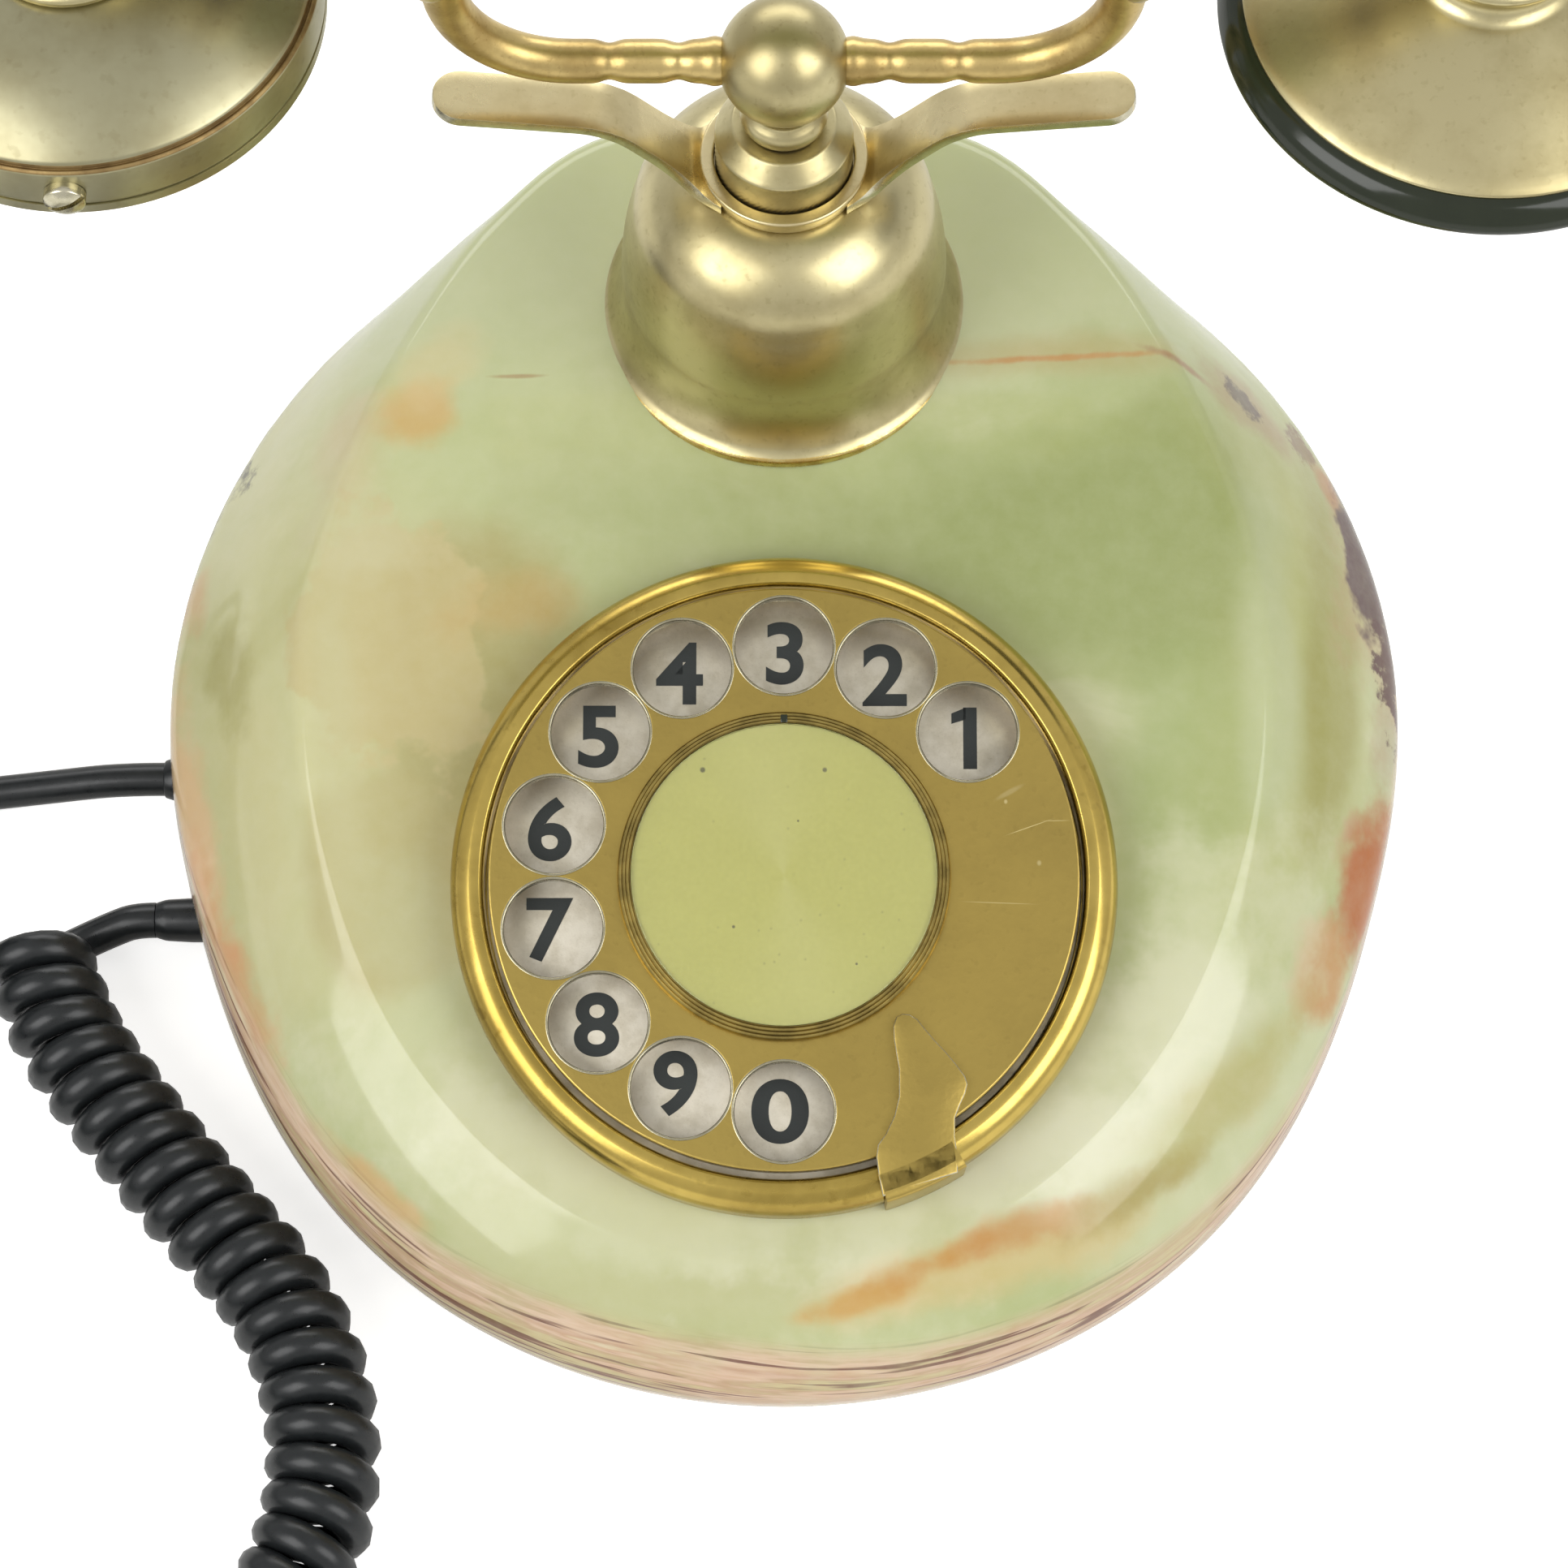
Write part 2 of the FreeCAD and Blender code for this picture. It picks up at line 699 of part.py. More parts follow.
def make_return_spring():
    return hollow_disc(11.0, shaft_r + 0.6, -6.9, -frame_thick - 0.0).cut(
        disc(bush_r + run_gap, -frame_thick - bush_drop, 0))


def make_pulse_cam():
    cam = hollow_disc(cam_r, shaft_r, cam_low, cam_low + cam_thick)
    for k in range(finger_count):
        x, y = around(90 + k * finger_pitch, cam_r)
        cam = cam.cut(disc(1.3, cam_low - 1, cam_low + 3, x, y))
    return cam


def make_pulse_contacts():
    holder = block(cam_r + 3.2, cam_r + 9.2, 5.0, 13.0, bridge_z, cam_low + 3.6)
    leaves = []
    for x in (cam_r + 0.4, cam_r + 1.6):
        leaves.append(block(x, x + 0.4, -7.0, 9.0, cam_low, cam_low + cam_thick))
    arm = block(cam_r + 0.4, cam_r + 3.4, 6.4, 9.0, cam_low - 0.8, cam_low + 2.2)
    piece = holder.fuse(arm)
    for leaf in leaves:
        piece = piece.fuse(leaf)
    return piece.removeSplitter()


def bell_low():
    return hill_z - seat_drop


def bell_top():
    return bell_low() + bell_h


def make_neck_bell():
    z0 = bell_low()
    top = bell_top()
    w = bell_wall
    points = [(bell_r, z0), (bell_r, z0 + 1.3),
              ((bell_r - 2.6, z0 + 5.5), (bell_mid_r + 0.5, z0 + 11.5)),
              ((bell_mid_r, z0 + 18.0), (bell_mid_r - 1.1, z0 + 23.5)),
              ((bell_mid_r - 4.6, z0 + 30.4), (bell_top_r, top)),
              (neck_tube_r + neck_gap, top), (neck_tube_r + neck_gap, top - w), (bell_top_r - 0.6, top - w),
              ((bell_mid_r - 4.6 - w * 0.7, z0 + 30.4 - w * 0.8), (bell_mid_r - 1.1 - w, z0 + 23.2)),
              ((bell_mid_r - w, z0 + 17.8), (bell_mid_r + 0.4 - w, z0 + 11.3)),
              ((bell_r - 2.6 - w, z0 + 5.0), (bell_r - 1.4, z0))]
    return lathe(points, 0, neck_y)


def bracket_top():
    return hill_z - stone_wall


def make_neck_tube():
    high = bell_top() + wing_thick + collar_h - 0.4
    low = bracket_top() - bracket_thick - nut_h - 1.5
    return hollow_disc(neck_tube_r, rod_r + run_gap, low, high, 0, neck_y)


def make_neck_nut():
    low = bracket_top() - bracket_thick - nut_h
    nut = Part.Face(Part.Wire(Part.makePolygon(
        [Vec(*around(60 * k, nut_r), low) for k in range(7)]))).extrude(Vec(0, 0, nut_h))
    nut.translate(Vec(0, neck_y, 0))
    return nut.cut(disc(neck_tube_r + thread_gap, 0, 90, 0, neck_y))


def make_wing_plate():
    low = bell_top()
    ring = disc(wing_ring_r, low, low + wing_thick)
    piece = ring
    for side in (1, -1):
        lower = [(0.0, 0.0), (wing_in_x, 0.0), (wing_bend_x, wing_bend_rise), (wing_tip_x, wing_tip_rise)]
        upper = [(x, z + wing_thick) for x, z in reversed(lower)]
        shift = [0.0, 0.4, -0.2, -0.2]
        lower = [(x + s, z) for (x, z), s in zip(lower, shift)]
        wire = Part.Wire(Part.makePolygon([Vec(side * x, -wing_width / 2, low + z)
                                           for x, z in lower + upper + lower[:1]]))
        strip = Part.Face(wire).extrude(Vec(0, wing_width, 0))
        bends = [e for e in strip.Edges if is_bend(e, side, low)]
        strip = strip.makeFillet(3.0, bends)
        plan = block(0, wing_tip_x - wing_width / 2, -wing_width / 2, wing_width / 2, 0, 200)
        plan = plan.fuse(disc(wing_width / 2, 0, 200, wing_tip_x - wing_width / 2, 0))
        if side < 0:
            plan.rotate(Vec(0, 0, 0), Vec(0, 0, 1), 180)
        web = wing_web(side, low)
        piece = piece.fuse(strip.common(plan)).fuse(web)
    piece = piece.cut(disc(neck_tube_r + thread_gap, 0, 200))
    piece.translate(Vec(0, neck_y, 0))
    return piece.removeSplitter()


# Flat root of a wing, which widens into the ring
def wing_web(side, low):
    half = wing_width / 2
    points = [(0.0, -wing_ring_r), (side * 3.4, -wing_ring_r + 0.6), (side * wing_in_x, -half),
              (side * wing_in_x, half), (side * 3.4, wing_ring_r - 0.6), (0.0, wing_ring_r)]
    return flat(points, low, low + wing_thick)


def is_bend(edge, side, low):
    if len(edge.Vertexes) < 2:
        return False
    a, b = edge.Vertexes[0].Point, edge.Vertexes[1].Point
    across = abs(a.y - b.y) > wing_width - 0.1
    middle = 1.0 < abs(a.x) < wing_tip_x - 2
    return across and middle


def collar_low():
    return bell_top() + wing_thick


def make_knurled_collar():
    low = collar_low()
    top = low + collar_h
    points = [(neck_tube_r + thread_gap, low), (collar_r - 0.4, low), (collar_r, low + 0.4),
              (collar_r, top - 0.5), (collar_r - 0.5, top),
              (collar_r - 2.2, top + collar_bevel), (rod_r + run_gap, top + collar_bevel),
              (rod_r + run_gap, top), (neck_tube_r + thread_gap, top)]
    return lathe(points, 0, neck_y)


def collar_top():
    return collar_low() + collar_h + collar_bevel


def make_plunger_rod():
    high = ball_z - ball_r + 3.0
    low = bracket_top() - bracket_thick - nut_h - 6.5
    rod = disc(rod_r, low, high, 0, neck_y)
    foot = disc(rod_r + 2.2, low - 1.5, low, 0, neck_y)
    return rod.fuse(foot).removeSplitter()


def rod_low():
    return bracket_top() - bracket_thick - nut_h - 8.0


def bracket_floor():
    return rod_low() - 12.0


def make_plunger_spring():
    return hollow_disc(rod_r + 0.6, rod_r - 0.6, bracket_floor(), rod_low(), 0, neck_y)


def make_hook_bracket():
    top = bracket_top()
    floor = bracket_floor()
    t = bracket_thick
    x = nut_r + 1.0
    half = 6.0
    piece = block(-x - t, x + t, -half, half, top - t, top)
    piece = piece.fuse(block(-x - t, -x, -half, half, floor - t, top))
    piece = piece.fuse(block(x, x + t, -half, half, floor - t, top))
    piece = piece.fuse(block(-x - t, x + t, -half, half, floor - t, floor))
    piece = piece.fuse(disc(rod_r - 0.9, floor, floor + 5.0))
    piece = piece.cut(disc(neck_tube_r + thread_gap, top - 2 * t, top + 1))
    piece.translate(Vec(0, neck_y, 0))
    return piece.removeSplitter()


def make_hook_contacts():
    x = nut_r + 1.0
    floor = bracket_floor()
    stack = block(x - 3.2, x, -4.0, 4.0, floor, floor + 7.0)
    low = block(rod_r + 1.2, x - 3.2, -2.0, 2.0, floor + 2.0, floor + 2.5)
    high = block(rod_r + 0.9, x - 3.2, -2.0, 2.0, floor + 5.0, floor + 5.5)
    piece = stack.fuse(low).fuse(high)
    piece.translate(Vec(0, neck_y, 0))
    return piece


def make_cradle_hub():
    low = collar_top() + bead_gap
    bead_h = 3.6
    base = ball_z - ball_r
    points = [(rod_r, low), (bead_r - 0.9, low),
              ((bead_r, low + bead_h / 2), (bead_r - 0.9, low + bead_h)),
              (rod_r + 0.9, base + 0.9), (rod_r, base + 0.9)]
    neck = lathe(points)
    ball = Part.makeSphere(ball_r, Vec(0, 0, ball_z))
    hub = ball.fuse(neck).cut(disc(rod_r, low - 1, ball_z - ball_r + 3.0))
    hub.translate(Vec(0, neck_y, 0))
    return hub.removeSplitter()


def make_cradle_arm(side):
    # The level part is turned, with two crimps, and the bend and the post are one swept tube
    start = ball_r - 1.2
    bend_x = arm_x - arm_bend_r
    c = crimp_depth
    points = [(0.0, start), (arm_r, start)]
    for x in crimp_x:
        points += [(arm_r, x - 1.6), ((arm_r - c, x), (arm_r, x + 1.6))]
    points += [(arm_r, bend_x), (0.0, bend_x)]
    wire = outline(points, lambda p: Vec(p[1], 0, p[0]))
    level = Part.Face(wire).revolve(Vec(0, 0, 0), Vec(1, 0, 0), 360)
    top = yoke_low() - ball_z + 1.0
    s = sin(radians(45))
    bend = Part.Arc(Vec(bend_x, 0, 0), Vec(bend_x + arm_bend_r * s, 0, arm_bend_r * (1 - s)),
                    Vec(arm_x, 0, arm_bend_r)).toShape()
    post = Part.LineSegment(Vec(arm_x, 0, arm_bend_r), Vec(arm_x, 0, top)).toShape()
    ring = Part.Wire([Part.makeCircle(arm_r, Vec(bend_x, 0, 0), Vec(1, 0, 0))])
    swept = Part.Wire([bend, post]).makePipeShell([ring], True, False)
    arm = level.fuse(swept)
    if side < 0:
        arm.rotate(Vec(0, 0, 0), Vec(0, 0, 1), 180)
    arm.translate(Vec(0, neck_y, ball_z))
    return arm.cut(make_cradle_hub()).cut(make_cradle_yoke(side))


def handle_radius(x):
    return handle_mid_r - (handle_mid_r - handle_end_r) * (x / handle_half) ** 2


def yoke_bend_r():
    return handle_radius(arm_x - yoke_wire_r) + yoke_gap + yoke_wire_r


def yoke_low():
    return handle_z - yoke_bend_r() - yoke_wire_r


def make_cradle_yoke(side):
    r = yoke_bend_r()
    x = side * arm_x
    tip = handle_z + yoke_tip_rise
    left = Part.LineSegment(Vec(x, neck_y - r, tip), Vec(x, neck_y - r, handle_z)).toShape()
    saddle = Part.Arc(Vec(x, neck_y - r, handle_z), Vec(x, neck_y, handle_z - r),
                      Vec(x, neck_y + r, handle_z)).toShape()
    right = Part.LineSegment(Vec(x, neck_y + r, handle_z), Vec(x, neck_y + r, tip)).toShape()
    ring = Part.Wire([Part.makeCircle(yoke_wire_r, Vec(x, neck_y - r, tip), Vec(0, 0, -1))])
    yoke = Part.Wire([left, saddle, right]).makePipeShell([ring], True, False)
    for y in (neck_y - r, neck_y + r):
        yoke = yoke.fuse(Part.makeSphere(yoke_wire_r + 0.7, Vec(x, y, tip)))
    return yoke


def make_handset_handle():
    points = [(0.0, -handle_half), (handle_end_r, -handle_half),
              ((handle_mid_r, 0.0), (handle_end_r, handle_half)), (0.0, handle_half)]
    wire = outline(points, lambda p: Vec(p[1], neck_y, handle_z + p[0]))
    return Part.Face(wire).revolve(Vec(0, neck_y, handle_z), Vec(1, 0, 0), 360)


def make_handle_ferrules():
    rings = []
    r = handle_end_r + ferrule_step
    for side in (1, -1):
        x = handle_half
        points = [(0.0, x), (r - 0.3, x), (r, x + 0.3), (r, x + 1.5), (r - 0.5, x + 1.8), (r - 0.5, x + 2.6),
                  (r, x + 2.9), (r, x + ferrule_w - 0.5), (r - 0.5, x + ferrule_w), (0.0, x + ferrule_w)]
        wire = outline(points, lambda p: Vec(side * p[1], neck_y, handle_z + p[0]))
        rings.append(Part.Face(wire).revolve(Vec(0, neck_y, handle_z), Vec(1, 0, 0), 360))
    return Part.makeCompound(rings)


def make_elbow(side, low):
    start = handle_half + ferrule_w
    bend = cup_x - elbow_bend_r
    centre_z = handle_z - elbow_bend_r
    s = sin(radians(45))
    edges = [Part.LineSegment(Vec(start, 0, handle_z), Vec(bend, 0, handle_z)).toShape(),
             Part.Arc(Vec(bend, 0, handle_z), Vec(bend + elbow_bend_r * s, 0, centre_z + elbow_bend_r * s),
                      Vec(cup_x, 0, centre_z)).toShape()]
    if centre_z > low + 0.2:
        edges.append(Part.LineSegment(Vec(cup_x, 0, centre_z), Vec(cup_x, 0, low)).toShape())
    ring = Part.Wire([Part.makeCircle(elbow_r, Vec(start, 0, handle_z), Vec(1, 0, 0))])
    elbow = Part.Wire(edges).makePipeShell([ring], True, False)
    end_low = min(low, centre_z)
    collar = lathe([(0.0, end_low), (neck_r + 1.2, end_low), ((neck_r + 1.8, end_low + 0.8),
                    (neck_r + 1.2, end_low + 1.6)), (0.0, end_low + 1.6)], cup_x, 0)
    elbow = elbow.fuse(collar)
    if side < 0:
        elbow.rotate(Vec(0, 0, 0), Vec(0, 0, 1), 180)
    elbow.translate(Vec(0, neck_y, 0))
    return elbow


def elbow_low():
    return handle_z - elbow_bend_r


def make_mouthpiece_cup():
    low = mouth_band_low
    band_top = low + mouth_band_h
    r = mouth_band_r
    w = cup_skin
    top = elbow_low()
    points = [(r - w, low), (r, low), (r, band_top - 0.3), (r - 0.3, band_top), (r - 0.8, band_top),
              (r - 0.9, band_top + 0.5),
              ((21.0, top - 2.7), (neck_r + 0.4, top)),
              (neck_r - w, top), (neck_r - w, top - w),
              ((20.2, top - 2.7 - w), (r - w - 1.2, band_top - 0.3)), (r - w, band_top - 0.6)]
    cup = lathe(points)
    slot = block(3.6, 7.6, -r - 3, -r + 4, low + 1.6, low + 4.4)
    slot = slot.fuse(block(5.6, 7.6, -r - 3, -r + 4, low - 1, low + 4.4))
    screw_hole = Part.makeCylinder(1.25, 8, Vec(0, -r - 2, low + 2.9), Vec(0, 1, 0))
    cup = cup.cut(slot).cut(screw_hole)
    cup.translate(Vec(-cup_x, neck_y, 0))
    return cup.cut(gland_stub(run_gap))


def make_bayonet_screw():
    low = mouth_band_low
    r = mouth_band_r
    z = low + 2.9
    head = Part.makeCylinder(2.5, 1.5, Vec(0, -r - 1.5, z), Vec(0, 1, 0))
    shank = Part.makeCylinder(1.2, cup_skin + 1.4, Vec(0, -r - 0.1, z), Vec(0, 1, 0))
    slot = block(-3, 3, -r - 1.6, -r - 0.9, z - 0.35, z + 0.35)
    screw = head.cut(Part.makeCylinder(mouth_band_r, 20, Vec(0, 0, z - 10))).fuse(shank).cut(slot)
    screw.translate(Vec(-cup_x, neck_y, 0))
    return screw.removeSplitter()


# Ring of sound holes round a centre hole
def sound_holes(low, high):
    holes = [disc(sound_hole_r, low, high)]
    for count, r in ((6, 6.0), (12, 12.0)):
        for k in range(count):
            holes.append(disc(sound_hole_r, low, high, *around(360.0 * k / count, r)))
    return holes


def make_mouthpiece_cap():
    low = mouth_cap_low
    seat = mouth_band_low
    r = mouth_band_r
    inner = r - cup_skin - run_gap
    points = [(0.0, low + 1.0), ((14.0, low + 0.7), (24.0, low)), (r - 0.5, low), (r, low + 0.5),
              (r, low + mouth_cap_flange), (inner, seat), (inner, seat + 1.4), (inner - 1.3, seat + 1.4),
              (inner - 1.3, low + 2.4), (0.0, low + 2.4)]
    points = [(x, min(z, seat) if x == r else z) for x, z in points[:1]] + points[1:]
    cap = lathe(points)
    for hole in sound_holes(low - 1, low + 4):
        cap = cap.cut(hole)
    cap.translate(Vec(-cup_x, neck_y, 0))
    return cap


def make_microphone_capsule():
    low = mouth_cap_low + 2.4
    points = [(0.0, low), (capsule_r, low), (capsule_r, low + 5.0), (capsule_r - 3, low + 6.6),
              (6.0, low + 6.6), (6.0, low + 8.0), (0.0, low + 8.0)]
    return lathe(points, -cup_x, neck_y)


def make_receiver_cup():
    w = cup_skin
    low = ear_top
    top = elbow_low()
    points = [(cone_r - w, low), (cone_r, low), (cone_r, low + 0.5),
              (cone_r - 0.9, low + 1.1), ((20.2, low + 4.6), (cone_top_r + 0.5, cone_top_z - 0.5)),
              ((neck_r + 0.35, cone_top_z + 0.6), (neck_r, cone_top_z + 2.0)), (neck_r, top),
              (neck_r - w, top), (neck_r - w, cone_top_z),
              ((19.6, low + 4.4 - w), (cone_r - w - 1.6, low + 0.6)), (cone_r - w, low + 0.3)]
    return lathe(points, cup_x, neck_y)


def make_ear_cap():
    low = ear_low
    points = [(0.0, low + 2.2), ((14.0, low + 1.4), (25.0, low)), (ear_r - 1.6, low),
              ((ear_r - 0.3, low + 0.5), (ear_r, low + 1.8)), (ear_r - 0.9, low + 3.4),
              (cone_r + 0.4, ear_top), (cone_r - cup_skin - 0.4, ear_top),
              (cone_r - cup_skin - 1.6, ear_top), (cone_r - cup_skin - 1.6, low + 3.8),
              (0.0, low + 3.8)]
    cap = lathe(points)
    for hole in sound_holes(low - 1, low + 6):
        cap = cap.cut(hole)
    cap.translate(Vec(cup_x, neck_y, 0))
    return cap


def make_receiver_capsule():
    low = ear_low + 3.8
    points = [(0.0, low), (capsule_r - 2, low), (capsule_r - 2, low + 2.6), (12.0, low + 4.0),
              (7.0, low + 4.6), (0.0, low + 4.6)]
    return lathe(points, cup_x, neck_y)


def gland_stub(extra):
    inner = -cup_x - mouth_band_r + cup_skin
    return Part.makeCylinder(gland_stub_r + extra, inner - gland_x, Vec(gland_x, neck_y, gland_stub_z),
                             Vec(1, 0, 0))


def make_handset_gland():
    points = [(0.0, gland_low), (gland_r - 0.9, gland_low), (gland_r, gland_low + 7),
              (gland_r, gland_high - 1.5), (gland_r - 1.5, gland_high), (0.0, gland_high)]
    gland = lathe(points, gland_x, neck_y)
    return gland.fuse(gland_stub(0.0)).removeSplitter()


def make_ringer_frame():
    low = pad_thick + plate_thick
    y = clapper_pivot_y
    piece = block(-15, 15, 0.5, y + 5, low, low + 1.5)
    piece = piece.fuse(block(-15, 15, 0.5, 2.0, low, clapper_z + 6))
    piece = piece.fuse(disc(1.2, low, clapper_z + 5.5, 0, y))
    piece = piece.fuse(block(-4, 4, y - 1, y + 5, low, clapper_z - 3.4))
    return piece.removeSplitter()


def make_ringer_coils():
    coils = []
    end = clapper_pivot_y - 2.2
    for x in (-8.0, 8.0):
        winding = Part.makeCylinder(6.0, end - 4.2, Vec(x, 3.2, clapper_z + 0.2), Vec(0, 1, 0))
        core = Part.makeCylinder(2.0, end - 2.0, Vec(x, 2.0, clapper_z + 0.2), Vec(0, 1, 0))
        cheek_a = Part.makeCylinder(6.6, 1.2, Vec(x, 2.0, clapper_z + 0.2), Vec(0, 1, 0))
        cheek_b = Part.makeCylinder(6.6, 1.0, Vec(x, end - 2.0, clapper_z + 0.2), Vec(0, 1, 0))
        coils.append(winding.fuse(core).fuse(cheek_a).fuse(cheek_b).removeSplitter())
    return Part.makeCompound(coils)


def make_ringer_gongs():
    top = gong_low + gong_h
    r, w = gong_r, gong_wall
    hole_r = post_r - 0.5 + run_gap
    points = [(r - w, gong_low), (r, gong_low), ((r - 2.2, gong_low + 5.6), (r - 8.0, top)),
              (hole_r, top), (hole_r, top - w), (r - 8.2, top - w),
              ((r - 2.2 - w, gong_low + 4.8), (r - w, gong_low))]
    return Part.makeCompound([lathe(points, side * gong_x, gong_y) for side in (1, -1)])


def make_gong_posts():
    low = pad_thick + plate_thick
    top = gong_low + gong_h
    posts = []
    for side in (1, -1):
        x = side * gong_x
        post = disc(post_r, low, top - gong_wall, x, gong_y).fuse(disc(4.0, low, low + 1.2, x, gong_y))
        post = post.fuse(disc(post_r - 0.5, low, top + 0.2, x, gong_y))
        post = post.fuse(disc(3.4, top, top + 1.4, x, gong_y))
        post = post.cut(block(x - 4, x + 4, gong_y - 0.4, gong_y + 0.4, top + 0.9, top + 2))
        posts.append(post.removeSplitter())
    return Part.makeCompound(posts)


def make_ringer_clapper():
    y = clapper_pivot_y
    z = clapper_z
    armature = block(-13, 13, y - 1.1, y + 1.1, z - 3, z + 3)
    hub = disc(2.4, z - 3.2, z + 3.2, 0, y)
    rod = Part.makeCylinder(0.8, gong_y - y, Vec(0, y, z), Vec(0, 1, 0))
    ball = Part.makeSphere(clapper_r, Vec(0, gong_y, z))
    piece = armature.fuse(hub).fuse(rod).fuse(ball)
    return piece.cut(disc(1.2 + run_gap, z - 5, z + 5, 0, y)).removeSplitter()


def make_terminal_board():
    low = pad_thick + plate_thick
    outer = -lower_cavity_r + works_gap
    inner = outer + board_long
    half = board_wide / 2
    board = block(outer, inner, -half, half, low + 3, low + 4.6)
    for x in (outer + 3, inner - 3):
        for y in (3 - half, half - 3):
            board = board.fuse(disc(2.2, low, low + 3.2, x, y))
    for x in (outer + 4, inner - 4):
        for y in (-5, 0, 5):
            board = board.fuse(disc(1.9, low + 4.4, low + 7.2, x, y))
    return board.removeSplitter()


def make_speech_coil():
    low = pad_thick + plate_thick
    outer = lower_cavity_r - works_gap - 1.0
    inner = outer - speech_coil_long
    core = block(inner, outer, -9, 11, low, low + 4)
    core = core.fuse(block(inner, outer, -9, 11, low + 10.5, low + 13))
    core = core.fuse(block(inner, outer, -9, -5, low, low + 13))
    core = core.fuse(block(inner, outer, 7, 11, low, low + 13))
    winding = block(inner + 1.5, outer - 1.5, -4.9, 6.9, low + 4.1, low + 10.4)
    return Part.makeCompound([core.removeSplitter(), winding])


# Route of straight runs joined by the largest tangent arcs that the runs allow
def rounded_route(points, name):
    share = 0.45
    pts = [Vec(*p) for p in points]
    edges = []
    radii = []
    here = pts[0]
    for i in range(1, len(pts) - 1):
        back = pts[i - 1] - pts[i]
        on = pts[i + 1] - pts[i]
        turn = back.negative().getAngle(on)
        cut = share * min(back.Length, on.Length)
        radius = cut / tan(turn / 2)
        radii.append(radius)
        a = pts[i] + back.normalize() * cut
        b = pts[i] + on.normalize() * cut
        inward = (a + b) * 0.5 - pts[i]
        centre = pts[i] + inward.normalize() * (radius / cos(turn / 2))
        middle = centre + (pts[i] - centre).normalize() * radius
        edges.append(Part.LineSegment(here, a).toShape())
        edges.append(Part.Arc(a, middle, b).toShape())
        here = b
    edges.append(Part.LineSegment(here, pts[-1]).toShape())
    wire = Part.Wire(edges)
    print(name, "length %.1f" % wire.Length, "radii", " ".join("%.0f" % r for r in radii))
    return wire


def swept_tube(wire, diameter, name):
    first = wire.OrderedEdges[0]
    start = first.valueAt(first.FirstParameter)
    heading = first.tangentAt(first.FirstParameter)
    ring = Part.Wire([Part.makeCircle(diameter / 2, start, heading)])
    tube = wire.makePipeShell([ring], True, False)
    ideal = pi * diameter ** 2 / 4 * wire.Length
    print(name, "volume / (section x length) = %.4f" % (tube.Volume / ideal), "valid", tube.isValid())
    return tube


# Two arcs that leave one point and reach another in given directions
def biarc(p0, t0, p1, t1):
    chord = p1 - p0
    total = t0 + t1
    a = 2 * (1 - t0.dot(t1))
    b = chord.dot(total)
    c = chord.dot(chord)
    if a < 1e-9:
        d = c / (4 * chord.dot(t0))
    else:
        d = (-b + (b * b + a * c) ** 0.5) / a
    joint = (p0 + t0 * d + p1 - t1 * d) * 0.5
    return [arc_from(p0, t0, joint), arc_from(joint, None, p1, t1)]


# Arc between two points, tangent at its start, or at its end when that is given
def arc_from(p0, start_t, p1, end_t=None):
    heading = start_t if start_t is not None else end_t.negative()
    base = p0 if start_t is not None else p1
    other = p1 if start_t is not None else p0
    chord = other - base
    side = heading.cross(chord).cross(heading)
    if side.Length < 1e-7 * chord.Length:
        return Part.LineSegment(p0, p1).toShape()
    side.normalize()
    radius = chord.dot(chord) / (2 * chord.dot(side))
    centre = base + side * radius
    middle = (p0 + p1) * 0.5 - centre
    middle.normalize()
    return Part.Arc(p0, centre + middle * radius, p1).toShape()


def track(place, params):
    eps = 1e-4
    nodes = []
    for u in params:
        heading = place(u + eps) - place(u - eps)
        nodes.append((place(u), heading.normalize()))
    edges = []
    for (p0, t0), (p1, t1) in zip(nodes, nodes[1:]):
        edges += biarc(p0, t0, p1, t1)
    return edges, nodes


# Least gap between turns of a wound tube, measured between points along its middle line
def least_gap(wire, diameter, skip):
    step = diameter / 6
    points = wire.discretize(Number=int(wire.Length / step))
    step = wire.Length / (len(points) - 1)
    apart = int(skip / step)
    size = diameter * 2
    cells = {}
    for i, p in enumerate(points):
        cells.setdefault((int(p.x // size), int(p.y // size), int(p.z // size)), []).append(i)
    least, where = 1e9, None
    for (cx, cy, cz), members in cells.items():
        near = []
        for dx in (-1, 0, 1):
            for dy in (-1, 0, 1):
                for dz in (-1, 0, 1):
                    near += cells.get((cx + dx, cy + dy, cz + dz), [])
        for i in members:
            for j in near:
                if j - i > apart and (points[i] - points[j]).Length < least:
                    least, where = (points[i] - points[j]).Length, points[i]
    print("least gap %.2f" % (least - diameter), "at", [round(v, 1) for v in where])


# Where the cord enters the coil, one diameter before its first loop
def coil_entry():
    start = coil_place(0.0)
    heading = (coil_place(1e-4) - start).normalize()
    return start - heading * line_d, heading


def make_line_cord_run():
    end, heading = coil_entry()
    points = list(line_route) + [tuple(end - heading * 14.0), tuple(end)]
    wire = rounded_route(points, "line_cord_run")
    return swept_tube(wire, line_d, "line_cord_run")


# Middle line of the piled coil, by loops wound: in and out at a steady rate, a layer higher each time
def coil_place(u):
    per_layer = coil_loops / coil_layers
    layer = min(int(u / per_layer), coil_layers - 1)
    inward = u - layer * per_layer
    if layer % 2:
        inward = per_layer - inward
    r = coil_outer_r - coil_step * inward
    z = line_route[-1][2]
    for k in range(1, coil_layers):
        t = max(0.0, min(1.0, (u - k * per_layer + 0.25) / 0.5))
        z += coil_climb * t * t * (3 - 2 * t)
    angle = -90.0 - 360.0 * u
    x, y = around(angle, r)
    return Vec(coil_centre[0] + x, coil_centre[1] + y, z)


